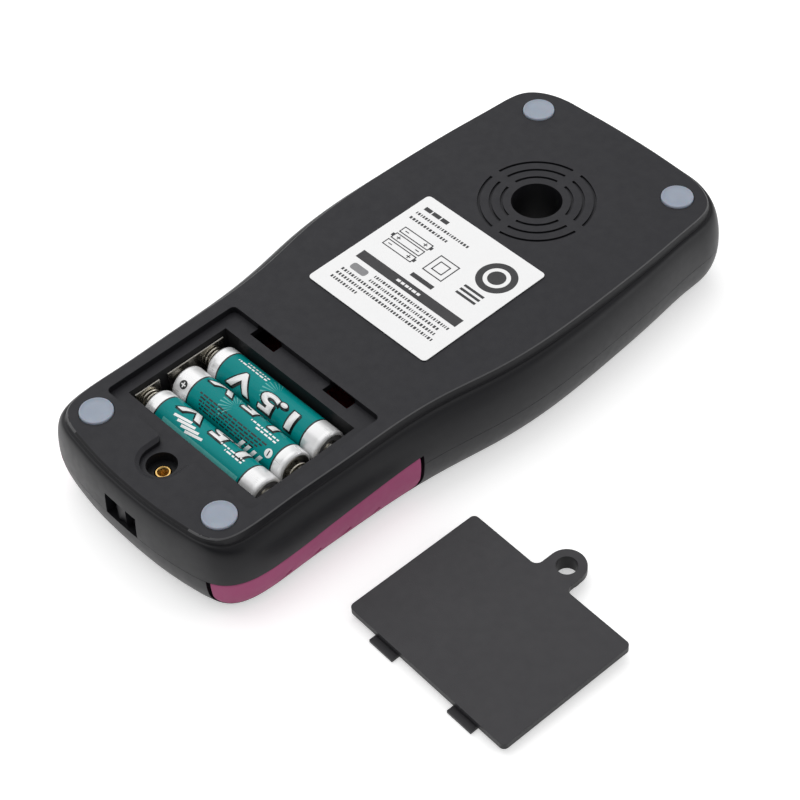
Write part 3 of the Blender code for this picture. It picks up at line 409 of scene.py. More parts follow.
# Stations at equal steps of the outline's turning and length taken together.
def outlineStations():
    u = np.arange(0, len(ridgePoints), 0.02)
    normal, place = ridgeNormal(u), ridgeAt(u)
    turning = np.degrees(np.arccos(np.clip((normal * np.roll(normal, -1, axis=0)).sum(axis=1), -1, 1)))
    length = np.linalg.norm(np.roll(place, -1, axis=0) - place, axis=1)
    effort = np.concatenate([[0], np.cumsum(turning / housing["turnStep"] + length / housing["lengthStep"])])
    steps = math.ceil(effort[-1])
    return np.interp(np.arange(steps) * effort[-1] / steps, effort, np.append(u, len(ridgePoints)))


stations = outlineStations()
print("outline stations:", len(stations))


# Stretch of the outline along a right-hand grip

grip = dict(
    tailX=30.0, headY=-12.8, rise=3.0, riseY=-50.0, low=2.8, thick=1.6, cornerRound=3.6, seam=0.15,
    endGap=1.2, flankThick=1.7, flankRise=1.6, edgeRound=0.35,
    notchY=(-57.3, -47.3, -37.3, -27.8), notchWidth=0.9, notchDepth=0.8, notchLength=4.4, notchZ=4.6,
    notchSlant=35.0,
)


# First parameter of the right-hand outline at which the values pass the limit.
def parameterWhere(values, limit, u):
    return float(u[np.argmax(values > limit)])


def gripSpan(extra):
    first = np.arange(0, 4, 0.002)
    last = np.arange(4, len(housing["ridge"]) - 4, 0.002)
    return (parameterWhere(wallRing(first, seamZ)[:, 0], grip["tailX"] - extra, first),
            parameterWhere(ridgeAt(last)[:, 1], grip["headY"] + extra, last))


# Height of a grip's upper edge: level, then climbing towards the head.
def gripTop(u):
    share = (ridgeAt(u)[:, 1] - grip["riseY"]) / (grip["headY"] - grip["riseY"])
    return seamZ + grip["rise"] * np.clip(share, 0, 1)


# Quarter-circle rise of the lower edge within the corner radius of either end.
def cornerLift(distance):
    corner = grip["cornerRound"]
    inside = np.clip(corner - distance, 0, None)
    return corner - np.sqrt(np.clip(corner ** 2 - inside ** 2, 0, None))


# A section of (height, outward) arrays carried along the wall from one parameter to another.
def wallSweep(name, span, section, side, finish=None):
    inside = stations[(stations > span[0] + 0.02) & (stations < span[1] - 0.02)]
    ends = np.linspace(0, 0.35, 12)
    u = np.unique(np.concatenate([inside, span[0] + ends, span[1] - ends]))
    gone = np.concatenate([[0], np.cumsum(np.linalg.norm(np.diff(ridgeAt(u), axis=0), axis=1))])
    heights, outward = section(u, np.minimum(gone, gone[-1] - gone))
    rings = np.stack([wallRing(u, heights[:, k], outward[:, k]) for k in range(heights.shape[1])], axis=1)
    rings[:, :, 0] *= side
    return loft(name, rings, finish)


# Heights from low to high outside, and back down inside.
def stripSection(near, far, low, high, rounded=False, levels=8):
    def section(u, distance):
        bottom = low + (cornerLift(distance) if rounded else 0 * u)
        up = bottom[:, None] + (high(u) - bottom)[:, None] * np.linspace(0, 1, levels)
        return (np.concatenate([up, up[:, ::-1]], axis=1),
                np.concatenate([np.full_like(up, far), np.full_like(up, near)], axis=1))
    return section


def flankSection(u, distance):
    top, low = gripTop(u), frontWall / 2 + 0 * u
    middle, brim = (low + top) / 2, top + grip["flankRise"]
    behind, front = -wall - fit, -grip["thick"] / 2
    inner = behind - grip["flankThick"]
    heights = np.stack([low, middle, top, top, brim, brim, middle, low], axis=1)
    return heights, np.broadcast_to([front, front, front, behind, behind, inner, inner, inner], heights.shape)


# Back housing

# earLead is the radius and the height of each step in the ear notch's chamfer.
recess = dict(halfX=28.5, tailY=-60.0, headY=-16.8, depth=2.0, corner=1.5, shelfWall=1.8, coverFit=0.5,
              earReach=5.0, earR=5.2, earHoleR=2.8, earFillet=2.0,
              earLead=((5.5, -2.0), (5.5, -0.75), (6.6, 0.0), (6.7, 0.1)),
              hookX=14.2, hookWidth=8.4, hookReach=2.3, hookThick=1.0, hookDrop=1.6, hookLeg=1.2,
              coverAt=(82.3, -31.9, 0.0), coverTurn=177.9)
cell = dict(r=5.25, body=43.2, pitch=10.85, clear=1.2, shifts=(0.4, 1.0, 0.2), ways=(1, -1, 1),
            positiveBand=6.4, negativeBand=4.2, line=0.5)
bay = dict(endRoom=3.6, y=-39.1, sideFit=0.3, wall=1.5, dividerThick=1.2, dividerRise=1.6, dividerHalfX=15.0)
insert = dict(counterboreR=4.1, counterboreDepth=3.0, r=2.1, holeR=1.2, length=6.0, floor=1.0, bossWall=4.6,
              threadTurns=9, threadPitch=0.5, threadDepth=0.16)
hole = dict(y=68.9, r=7.15, tubeWall=1.9, grooves=(9.8, 12.9, 16.1), grooveWidth=0.8, grooveDepth=0.6,
            bridge=3.0, ringR=11.6, ringThick=1.4, ringSunk=0.3)
pads = dict(spots=((-24.3, -66.4), (24.3, -66.4), (-26.6, 97.0), (26.6, 97.0)), r=4.5, sink=0.5, rise=0.5,
            rim=0.4, dish=0.15)
screw = dict(r=1.3, headR=2.6, head=1.8, belowPad=0.3, bossWall=1.9, meetZ=10.5)
strap = dict(halfX=6.1, rise=7.0, depth=6.4, barX=3.4, barSunk=0.5, barHollow=0.7, barDepth=3.4, wall=1.6)
board = dict(halfX=27.0, tailY=42.0, headY=90.0, belowWall=1.4, pegR=1.8, pegInset=3.5)
# The first three values bound the painted highlight on the ridge's round; ear is the reach of the textured
# finish round the ear.
painted = dict(edge=0.6, highlightDrop=0.35, highlightFromX=22.0, ear=9.0)    # reach of the finishes on the back

tailY, headY, coverFit, shelfWall = (recess[key] for key in ("tailY", "headY", "coverFit", "shelfWall"))
bayY, bayWall, holeY, strapWall = bay["y"], bay["wall"], hole["y"], strap["wall"]
shelfZ = backZ - recess["depth"]
recessHalfY = (headY - tailY) / 2
earY = tailY - recess["earReach"]
cellZ = shelfZ - cell["clear"] - cell["r"]
bayFloorZ = cellZ - cell["r"] - seat
bayHalfX = cell["body"] / 2 + bay["endRoom"]
bayHalfY = cell["pitch"] + cell["r"] + bay["sideFit"]
insertTopZ = shelfZ - insert["counterboreDepth"]
tubeR = hole["r"] + hole["tubeWall"]
ringSeatZ = hole["ringSunk"] + hole["ringThick"] + seat
padFloorZ = backZ - pads["sink"] - seat
screwSeatZ = padFloorZ - screw["belowPad"] - screw["head"]
strapFace = wallRing(np.array([len(ridgePoints) - 0.5]), seamZ + strap["rise"] / 2)[0, 1]


# Neck with quarter-circle fillets at the edge, and a half-circle end, measured from the edge outwards to -Y.
def earOutline(r, edgeY, centreY, fillet):
    turn, around = np.radians(np.linspace(0, 90, 9)), np.radians(np.linspace(0, 180, 33))
    right = np.column_stack([r + fillet * (1 - np.sin(turn)), fillet * (1 - np.cos(turn))])
    right = np.vstack([[r + fillet, -fillet], right])
    end = np.column_stack([r * np.cos(around), edgeY - centreY + r * np.sin(around)])
    outline = np.vstack([right, end, right[::-1] * (-1, 1)])
    return np.column_stack([outline[:, 0], edgeY - outline[:, 1]])


# The ear's notch has an upright wall below and widens in a chamfer above.
def makeEarLead():
    neck = recess["earR"] + recess["earFillet"]
    return loft("earLead", [atHeight(earOutline(r, tailY, earY, neck - r), backZ + z)
                            for r, z in recess["earLead"]])


# Outline between two radii over one quarter turn less the bridges at its ends.
def grooveArc(radius, quarter):
    halfGap, half = math.asin(hole["bridge"] / 2 / radius), hole["grooveWidth"] / 2
    around = np.linspace(quarter * math.pi / 2 + halfGap, (quarter + 1) * math.pi / 2 - halfGap, 25)
    arc = np.column_stack([np.cos(around), np.sin(around)])
    outline = np.vstack([arc * (radius + half), arc[::-1] * (radius - half)]) + (0, holeY)
    return prism("groove", outline, backZ - hole["grooveDepth"], over)


# Step up from the shoulder: a small valley, a drafted face, and a round that grows towards the tail's end.
def ridgeRings(u):
    shoulder = shoulderAt(u)
    tail = np.clip(-ridgeNormal(u)[:, 1], 0, 1) ** 3
    roundR = housing["edgeRound"] + (housing["endRound"] - housing["edgeRound"]) * tail
    roundR = np.minimum(roundR, backZ - shoulder - 0.15)
    low, draft = housing["stepOut"] - 0.1, 0.12
    rings = [outlineRing(u, shoulder + up, low - inwards + 0 * u)
             for inwards, up in ((0.10, -0.03), (0.22, 0.0), (0.32, 0.10))]
    return rings + [outlineRing(u, backZ - roundR * (1 - np.sin(angle)), draft - roundR * (1 - np.cos(angle)))
                    for angle in np.radians(np.linspace(8, 90, 9))]


def makeBackShell():
    u, edge = stations, seamZ + housing["seamGap"]
    inside = (ceilingZ, (ceilingZ + widestZ) / 2, widestZ, edge)
    rings = [wallRing(u, z, -wall) for z in inside] + [wallRing(u, edge)]
    rings += [wallRing(u, widestZ + (shoulderAt(u) - widestZ) * np.sin(angle))
              for angle in np.radians(np.linspace(4, 90, 16))]
    shell = loft("back_housing", rings + ridgeRings(u), "sidePlastic")

    strapTop, strapBack = seamZ + strap["rise"], strapFace + strap["depth"]
    strapSide, shelfX = strap["halfX"] + strapWall, recess["halfX"] + recess["shelfWall"]
    inward = strapFace + wall + fit
    supports = [
        block("shelf", shelfX, tailY - shelfWall, headY + recess["hookReach"] + shelfWall,
              shelfZ - shelfWall, rootZ),
        block("tub", bayHalfX + bayWall, bayY - bayHalfY - bayWall, bayY + bayHalfY + bayWall,
              bayFloorZ - bayWall, shelfZ - shelfWall / 2),
        rod("insertBoss", 0, earY, insert["r"] + insert["bossWall"],
            insertTopZ - insert["length"] - bayWall, rootZ),
        rod("tube", 0, holeY, tubeR, ringSeatZ + fit, rootZ, segments=96),
        block("strapBlock", strapSide, strapFace + wall / 2, strapBack + strapWall,
              edge, strapTop + strapWall),
        block("strapFloor", strapSide, inward, strapBack + strapWall, seamZ - strapWall, seamZ + strapWall),
    ]
    supports += [rod("boss", x, y, screw["headR"] + screw["bossWall"], screw["meetZ"], rootZ)
                 for x, y in pads["spots"]]
    inset = board["pegInset"]
    supports += [rod("peg", side * (board["halfX"] - inset), y, board["pegR"],
                     ceilingZ - board["belowWall"] + seat, rootZ, segments=24)
                 for side in (-1, 1) for y in (board["tailY"] + inset, board["headY"] - inset)]
    join(shell, *supports)
    cut(shell, block("hollow", bayHalfX, bayY - bayHalfY, bayY + bayHalfY, bayFloorZ, over),
        block("strapPocket", strap["halfX"], strapFace - wall, strapBack, seamZ, strapTop))

    half, front = strap["barX"] / 2, strapFace + strap["barSunk"]
    barBack, barTop = front + strap["barDepth"], strapTop + strapWall / 2
    around = np.radians(np.linspace(0, 180, 17))
    hollowed = np.column_stack([half * np.cos(around), front + strap["barHollow"] * np.sin(around)])
    outline = np.vstack([hollowed, [(-half, barBack), (half, barBack)]])
    halfThick = bay["dividerThick"] / 2
    dividers = [block("divider", bay["dividerHalfX"], y - halfThick, y + halfThick,
                      bayFloorZ - bayWall / 2, bayFloorZ + bay["dividerRise"])
                for y in (bayY - cell["pitch"] / 2, bayY + cell["pitch"] / 2)]
    join(shell, *dividers, prism("bar", outline, edge, barTop),
         block("barFoot", half, inward, barBack, seamZ - strapWall / 2, barTop))

    opening = roundedRectangle(0, (tailY + headY) / 2, recess["halfX"], recessHalfY, recess["corner"])
    tools = [prism("recess", opening, shelfZ, over),
             makeEarLead(),
             rod("counterbore", 0, earY, insert["counterboreR"], insertTopZ, over),
             rod("insertSeat", 0, earY, insert["r"] + seat, insertTopZ - insert["length"] - seat, over),
             rod("bore", 0, holeY, hole["r"], -wall, over, segments=96)]
    tools += [block("hookSlot", recess["hookWidth"] / 2 + coverFit, headY - recess["hookReach"] - coverFit,
                    headY + recess["hookReach"], shelfZ - 2 * shelfWall,
                    shelfZ + recess["hookThick"] + coverFit, x=side * recess["hookX"]) for side in (-1, 1)]
    tools += [grooveArc(radius, quarter) for radius in hole["grooves"] for quarter in range(4)]
    for x, y in pads["spots"]:
        tools += [rod("padSeat", x, y, pads["r"] + seat, padFloorZ, over),
                  rod("screwSeat", x, y, screw["headR"] + fit, screwSeatZ - seat, over),
                  rod("screwWay", x, y, screw["r"] + fit, screw["meetZ"] - wall, over, segments=32)]
    notch = stripSection(-2 * wall, wall, seamZ - wall, lambda v: gripTop(v) + grip["seam"])
    tools += [wallSweep("gripNotch", gripSpan(grip["endGap"]), notch, side) for side in (1, -1)]
    cut(shell, *tools)
    paintFlats(shell)

    def onRim(edge):
        first, second = (v.co.z for v in edge.verts)
        return abs(first - second) < 1e-5 and min(abs(first - z * mm) for z in (backZ, shelfZ)) < 1e-5
    return soften(shell, 0.16, onRim)


# The textured finish goes on the level faces of the back and of the recess, and the dark one inside the bay.
# A lighter one on the top of the ridge's round is a painted highlight.
def paintFlats(shell):
    dress(shell, "sidePlastic", "backPlastic", "innerPlastic", "paintedRidgeHighlight")
    centre, normal = np.zeros((2, len(shell.data.polygons) * 3))
    shell.data.polygons.foreach_get("center", centre)
    shell.data.polygons.foreach_get("normal", normal)
    centre, up = centre.reshape(-1, 3) / mm, normal.reshape(-1, 3)[:, 2]
    x, y, z = centre.T
    above = z > shelfZ - 0.1
    inBay = (np.abs(x) < bayHalfX + 0.1) & (np.abs(y - bayY) < bayHalfY + 0.1) & (z < shelfZ - 0.1)
    lines = ridgeAt(np.arange(0, len(ridgePoints), 0.05))
    toRidge = np.min(np.linalg.norm(centre[:, None, :2] - lines, axis=2), axis=1)
    # Painted highlight: faces on the top of the ridge's round, away from the tail's middle, take the lighter
    # finish.
    edge = (toRidge < painted["edge"]) & (z > backZ - painted["highlightDrop"]) & (up > 0.45) & (up < 0.995) \
        & (np.abs(x) > painted["highlightFromX"])
    textured = ((up > 0.99) | (np.hypot(x, y - earY) < painted["ear"]) & (up > 0.3)) & above
    index = np.select([inBay, textured, edge], [2, 1, 3], 0).astype(np.int32)
    shell.data.polygons.foreach_set("material_index", index)


backHousing = placeOn(makeBackShell(), "housing", "back_shell")
print("back housing:", len(backHousing.data.polygons), "faces")


# Front housing

# Each key is its name, place, half sizes and corner radius.
front = dict(windowHalfX=21.0, windowHalfY=16.0, windowY=28.0, ledge=3.0, lensThick=0.8, lensSunk=0.2,
             boardHalfX=27.0, boardTailY=-56.0, boardHeadY=53.0, boardZ=6.5, postR=2.0, postInset=3.0,
             keys=(("power", 0.0, -40.0, 7.0, 7.0, 6.9), ("mode", -13.0, -15.0, 6.5, 4.5, 3.0),
                   ("light", 13.0, -15.0, 6.5, 4.5, 3.0)),
             keySunk=0.3, keyEdge=0.45, keyFlange=1.0, keyFlangeThick=0.8, keyStemR=2.0, keyPress=0.5,
             switchBody=0.8, switchButton=0.8)


def makeFrontShell():
    u, lipOut, lipTop = stations, wall + seat, seamZ + housing["lipRise"]
    inner = lipOut + housing["lip"]
    edge, root = seamZ - housing["seamGap"], seamZ - housing["lipRoot"]
    rings = [wallRing(u, z, -wall) for z in (frontWall, (frontWall + root) / 2, root)]
    rings += [wallRing(u, root + housing["lip"], -inner), wallRing(u, lipTop, -inner),
              wallRing(u, lipTop, -lipOut), wallRing(u, edge, -lipOut), wallRing(u, edge)]
    rings += [wallRing(u, widestZ * (1 - np.sin(angle))) for angle in np.radians(np.linspace(6, 90, 15))]
    shell = loft("front_housing", rings, "sidePlastic")
    join(shell, *(wallSweep("flank", gripSpan(-fit), flankSection, side) for side in (1, -1)))
    gripSeat = stripSection(-grip["thick"] - seat, wall, grip["low"] - grip["seam"],
                            lambda v: gripTop(v) + grip["flankRise"], rounded=True)
    cut(shell, *(wallSweep("gripSeat", gripSpan(grip["endGap"]), gripSeat, side) for side in (1, -1)))
    cut(shell, block("strapWay", strap["halfX"] + strapWall + fit, strapFace + lipOut,
                     strapFace + lipOut + 2 * strap["depth"], seamZ - strapWall - fit,
                     seamZ + 2 * housing["lipRise"]))

    foot, bossWall = frontWall / 2, screw["bossWall"]
    posts = [rod("boss", x, y, screw["r"] + fit + bossWall, foot, screw["meetZ"] - fit)
             for x, y in pads["spots"]]
    posts += [rod("post", side * (front["boardHalfX"] - front["postInset"]), y, front["postR"], foot,
                  front["boardZ"] - seat, segments=32) for side in (-1, 1)
              for y in (front["boardTailY"] + front["postInset"], front["boardHeadY"] - front["postInset"])]
    join(shell, *posts, rod("ringBoss", 0, holeY, hole["ringR"] + fit + bossWall, foot, ringSeatZ + bossWall,
                            segments=96))

    below, through, ledge = -wall, frontWall + wall, front["ledge"]
    windowY, halfX, halfY = front["windowY"], front["windowHalfX"], front["windowHalfY"]
    tools = [rod("pilot", x, y, screw["r"] + fit, frontWall, screw["meetZ"], segments=32)
             for x, y in pads["spots"]]
    tools += [prism("window", roundedRectangle(0, windowY, halfX, halfY, ledge / 2), below, through),
              prism("lensSeat", roundedRectangle(0, windowY, halfX + ledge, halfY + ledge, ledge),
                    below, front["lensSunk"] + front["lensThick"] + seat),
              rod("ringSeat", 0, holeY, hole["ringR"] + fit, below, ringSeatZ, segments=96),
              rod("tubeWay", 0, holeY, tubeR + fit, below, ringSeatZ + 2 * bossWall, segments=96)]
    tools += [prism("keyHole", roundedRectangle(x, y, keyX + fit, keyY + fit, corner + fit, steps=16),
                    below, through) for _, x, y, keyX, keyY, corner in front["keys"]]
    cut(shell, *tools)
    return soften(shell, 0.2, lambda edge: all(abs(v.co.z) < 1e-5 for v in edge.verts))


frontHousing = placeOn(makeFrontShell(), "housing", "front_shell")
print("front housing:", len(frontHousing.data.polygons), "faces")


# Soft grips: outer face flush with the wall, its upper and lower edges rounded over by quarter circles.
def gripSection(u, distance):
    bottom = (grip["low"] + cornerLift(distance))[:, None]
    height = gripTop(u)[:, None] - bottom
    up = bottom + height * (1 - np.cos(np.linspace(0, np.pi, 21))) / 2
    toEdge = np.clip(np.minimum(up - bottom, (bottom + height) - up) / grip["edgeRound"], 0, 1)
    outer = -grip["edgeRound"] * (1 - np.sqrt(1 - (1 - toEdge) ** 2))
    return (np.concatenate([up, up[:, ::-4]], axis=1),
            np.concatenate([outer, np.full_like(up[:, ::-4], -grip["thick"])], axis=1))


# The notches are wedges pressed into the grip's face.
def makeGrip(name, side):
    piece = wallSweep(name, gripSpan(0), gripSection, side, "softGrip")
    u = np.arange(3, len(housing["ridge"]) - 4, 0.002)
    wide, depth, long = 1.5 * grip["notchWidth"], grip["notchDepth"], grip["notchLength"] / 2
    for y in grip["notchY"]:
        spot = wallRing(np.array([parameterWhere(ridgeAt(u)[:, 1], y, u)]), grip["notchZ"])[0]
        tool = prism("notch", [(-depth, 0), (2 * depth, -wide), (2 * depth, wide)], -long, long)
        turn = Matrix.Rotation(math.radians(90 + grip["notchSlant"]), 4, "X")
        matrix = Matrix.Translation(Vector(spot) * mm) @ turn
        if side < 0:
            matrix = Matrix.Scale(-1, 4, (1, 0, 0)) @ matrix
            tool.data.flip_normals()
        cut(piece, moved(tool, matrix))
    return soften(piece, 0.12, segments=2)


for name, side in (("grip_right", 1), ("grip_left", -1)):
    placeOn(makeGrip(name + "_soft", side), "grip", name)
print("grips made")


# Battery cover, on the floor with its outer face up

# It leans on the boss under its ear and on the outer edge of its two stepped hooks.
def makeCover():
    halfX, halfY, thick = recess["halfX"] - coverFit, recessHalfY - coverFit, recess["depth"]
    drop, leg, reach = recess["hookDrop"], recess["hookLeg"], recess["hookReach"]
    bossR, bossDrop = insert["counterboreR"] - fit, insert["counterboreDepth"] - seat
    earCentre = -halfY - recess["earReach"] - coverFit
    heel, tip = halfY - reach + coverFit, halfY + reach - coverFit
    cover = prism("cover_plate", roundedRectangle(0, 0, halfX, halfY, recess["corner"]), 0, thick,
                  "coverPlastic")
    join(cover, prism("ear", earOutline(recess["earR"], -halfY, earCentre, recess["earFillet"]), 0, thick))
    for side in (-1, 1):
        x, half = side * recess["hookX"], recess["hookWidth"] / 2
        join(cover, block("leg", half, heel, heel + leg, -drop, thick / 2, x))
        join(cover, block("hook", half, heel + leg / 2, tip, -drop, recess["hookThick"] - drop, x))
    join(cover, rod("earBoss", 0, earCentre, bossR, -bossDrop, thick / 2))
    cut(cover, rod("earHole", 0, earCentre, recess["earHoleR"], -2 * bossDrop, 2 * thick))
    soften(cover, 0.28)
    dress(cover, "coverPlastic", "sidePlastic")
    # The darker side plastic on every face that does not point straight up is painted shade; the smoother
    # finish of the edges is their own.
    for face in cover.data.polygons:    # its edges are smoother and darker than its face
        face.material_index = 0 if face.normal.z > 0.99 else 1
    lean = math.atan2(bossDrop - drop, tip - earCentre - bossR)
    return moved(cover, Matrix.Translation(Vector(recess["coverAt"]) * mm)
                 @ Matrix.Rotation(math.radians(recess["coverTurn"]), 4, "Z")
                 @ Matrix.Translation((0, tip * mm, 0)) @ Matrix.Rotation(-lean, 4, "X")
                 @ Matrix.Translation((0, -tip * mm, drop * mm)))


placeOn(makeCover(), "housing", "battery_cover")
print("cover made")


# Cells

def cellY(k):
    return bayY + (k - 1) * cell["pitch"]


# Turned about X: an axial distance s and a radius r go to x = shift + way s, and round the middle line.
# Each row of the profile is a radius, a distance, and the number of the finish from there on.
def makeCell(k):
    h, r, way, segments = cell["body"] / 2, cell["r"], cell["ways"][k], 96
    positive, negative, line = h - cell["positiveBand"], -h + cell["negativeBand"], cell["line"]
    rows = np.array((
        (0.3, -h + 0.22, 3), (3.3, -h + 0.22, 3), (3.5, -h + 0.05, 3), (3.7, -h, 3), (4.45, -h, 1),
        (4.75, -h + 0.06, 1), (5.0, -h + 0.22, 1), (5.15, -h + 0.42, 1), (r, -h + 0.8, 1), (r, -h + 1.3, 1),
        (r - 0.05, -h + 1.5, 1), (r, -h + 1.7, 1), (r, negative - line, 1), (r, negative - line, 2),
        (r, negative, 0), (r, 0, 0), (r, positive, 2), (r, positive + line, 1), (r, h - 1.9, 1),
        (r - 0.05, h - 1.6, 1), (r, h - 1.35, 1), (r, h - 0.8, 1), (5.15, h - 0.42, 1), (5.0, h - 0.22, 1),
        (4.75, h - 0.06, 1), (4.4, h, 3), (4.2, h - 0.05, 3), (4.1, h - 0.25, 4), (3.9, h - 0.32, 4),
        (2.6, h - 0.32, 3), (2.3, h - 0.25, 3), (2.0, h - 0.05, 3), (1.9, h + 0.2, 3), (1.88, h + 0.6, 3),
        (1.75, h + 0.8, 3), (1.5, h + 0.9, 3), (0.3, h + 0.9, 3)))
    around, radius, along = fullTurn(segments), rows[:, :1], rows[:, 1:2]
    rings = np.stack([cell["shifts"][k] * way + way * along + 0 * around, cellY(k) + radius * np.sin(around),
                      cellZ + radius * np.cos(around)], axis=-1)
    piece = loft("cell_%d" % (k + 1), rings)
    dress(piece, "cellWrap", "cellBand", "cellLine", "cellSteel", "cellSeal")
    index = np.concatenate([np.repeat(rows[:-1, 2], segments), [3, 3]]).astype(np.int32)
    piece.data.polygons.foreach_set("material_index", index)
    return smooth(piece, 32)


for k in range(3):
    placeOn(makeCell(k), "cell_wrap", "battery_%d" % (k + 1))
print("cells made")


# Print, as thin closed shapes

def flatText(body, size, place, bolder, wider):
    curve = bpy.data.curves.new("text", "FONT")
    curve.body, curve.size, curve.offset, curve.resolution_u = body, size, bolder, 4
    curve.align_x, curve.align_y = "CENTER", "CENTER"
    text = link("text", curve)
    mesh = finalMesh(text)
    bpy.data.objects.remove(text)
    mesh.transform(Matrix.Translation((*place, 0)) @ Matrix.Diagonal((wider, 1, 1, 1)))
    return mesh


def flatOutline(outline, place=(0, 0)):
    mesh = bpy.data.meshes.new("shape")
    points = atHeight(np.asarray(outline, float) + place, 0).tolist()
    mesh.from_pydata(points, [], [list(range(len(points)))])
    return mesh


def disc(x, y, r, segments):
    return flatOutline(circle(0, 0, r, segments), (x, y))


# Bar whose ends lean along x, turned by an angle.
def bar(x, y, halfX, halfY, lean=0.0, turn=0.0):
    c, s = math.cos(math.radians(turn)), math.sin(math.radians(turn))
    corners = [(i * halfX + j * lean, j * halfY) for i, j in rectangle(-1, 1, -1, 1)]
    return flatOutline([(c * p - s * q, s * p + c * q) for p, q in corners], (x, y))


# Thin triangles that spread from one point.
def rays(x, y, length, spread, count):
    shapes = []
    for turn in np.radians(np.linspace(-spread, spread, count)):
        ahead, side = np.array((np.cos(turn), np.sin(turn))), np.array((-np.sin(turn), np.cos(turn)))
        near, far, half = 0.25 * length * ahead, length * ahead, 0.22 * side
        shapes.append(flatOutline([near, far - half, far + half], (x, y)))
    return shapes


# Rows of small bars of uneven length that stand for fine print.
def finePrint(x0, x1, y, height, seed, shortest=0.5, longest=2.2):
    draw = np.random.default_rng(seed)
    shapes, x = [], x0
    while x < x1:
        length = min(draw.uniform(shortest, longest), x1 - x)
        if length > 0.25:
            shapes.append(bar(x + length / 2, y, length / 2, height / 2))
        x += length + 0.35 + 0.1 * draw.random()
    return shapes


# The flat shapes are cut in strips, laid on the surface by the map, and given a small thickness.
# Each layer is its shapes, its height over the surface and its finish.
def layPrint(name, layers, toSurface, strip=None, thick=0.02):
    joined = bmesh.new()
    for index, (shapes, lift, _) in enumerate(layers):
        for mesh in shapes:
            part = bmesh.new()
            part.from_mesh(mesh)
            bmesh.ops.remove_doubles(part, verts=part.verts, dist=1e-5)
            if strip:
                ys = [v.co.y for v in part.verts]
                for y in np.arange(math.ceil(min(ys) / strip), math.floor(max(ys) / strip) + 1) * strip:
                    bmesh.ops.bisect_plane(part, geom=part.verts[:] + part.edges[:] + part.faces[:],
                                           plane_co=(0, y, 0), plane_no=(0, 1, 0), dist=1e-6)
            for v in part.verts:
                v.co.z = lift
            for f in part.faces:
                f.material_index = index
            part.to_mesh(mesh)
            part.free()
            joined.from_mesh(mesh)
            bpy.data.meshes.remove(mesh)
    made = bpy.data.meshes.new(name)
    joined.to_mesh(made)
    joined.free()
    points = np.zeros(len(made.vertices) * 3)
    made.vertices.foreach_get("co", points)
    made.vertices.foreach_set("co", (toSurface(points.reshape(-1, 3)) * mm).ravel())
    piece = link(name, made)
    sheet = piece.modifiers.new("thickness", "SOLIDIFY")
    sheet.thickness, sheet.offset = thick * mm, 0
    applyModifiers(piece)
    dress(piece, *(finish for _, _, finish in layers))
    return piece


# Arc length t from the cell's top towards -Y becomes an angle; s runs along the reading direction, to -X.
def cellMap(k):
    def toSurface(points):
        s, t, lift = points.T
        r = cell["r"] + lift
        return np.column_stack([-s, cellY(k) - r * np.sin(t / cell["r"]), cellZ + r * np.cos(t / cell["r"])])
    return toSurface


# Arc lengths of what is on each cell: the printed rating, dark and small rows, two kinds of bars, rays and
# discs, and on the first cell a pale band that is a painted sheen.
cellPrint = dict(
    rating="1.5 V", size=7.0, wider=1.8, outline=0.50, body=0.24, shade=0.40, discR=1.25, strip=0.55,
    cells=(dict(ratingT=-3.8, dark=(8.6, 9.6, 10.6, 11.6), small=(-0.9, 0.1), smallX=(4.0, 13.0),
                longBars=(6.2, 1.6), pale=(4.1, 0.7), discT=(-9.0, 15.0)),
           dict(ratingT=-4.9, dark=(2.3, 3.2, 4.1, 5.0, 5.9), small=(-0.6, 0.4), smallX=(3.5, 14.0),
                leaningBars=(7.5, 6.6), rays=(-2.0, -0.6), discT=(3.6, -12.0)),
           dict(ratingT=2.9, dark=(-5.4, -6.3, -7.2), small=(-1.4, -2.5), smallX=(-15.0, -4.0),
                rays=(2.0, -0.6), discT=(-9.5, 9.5))))


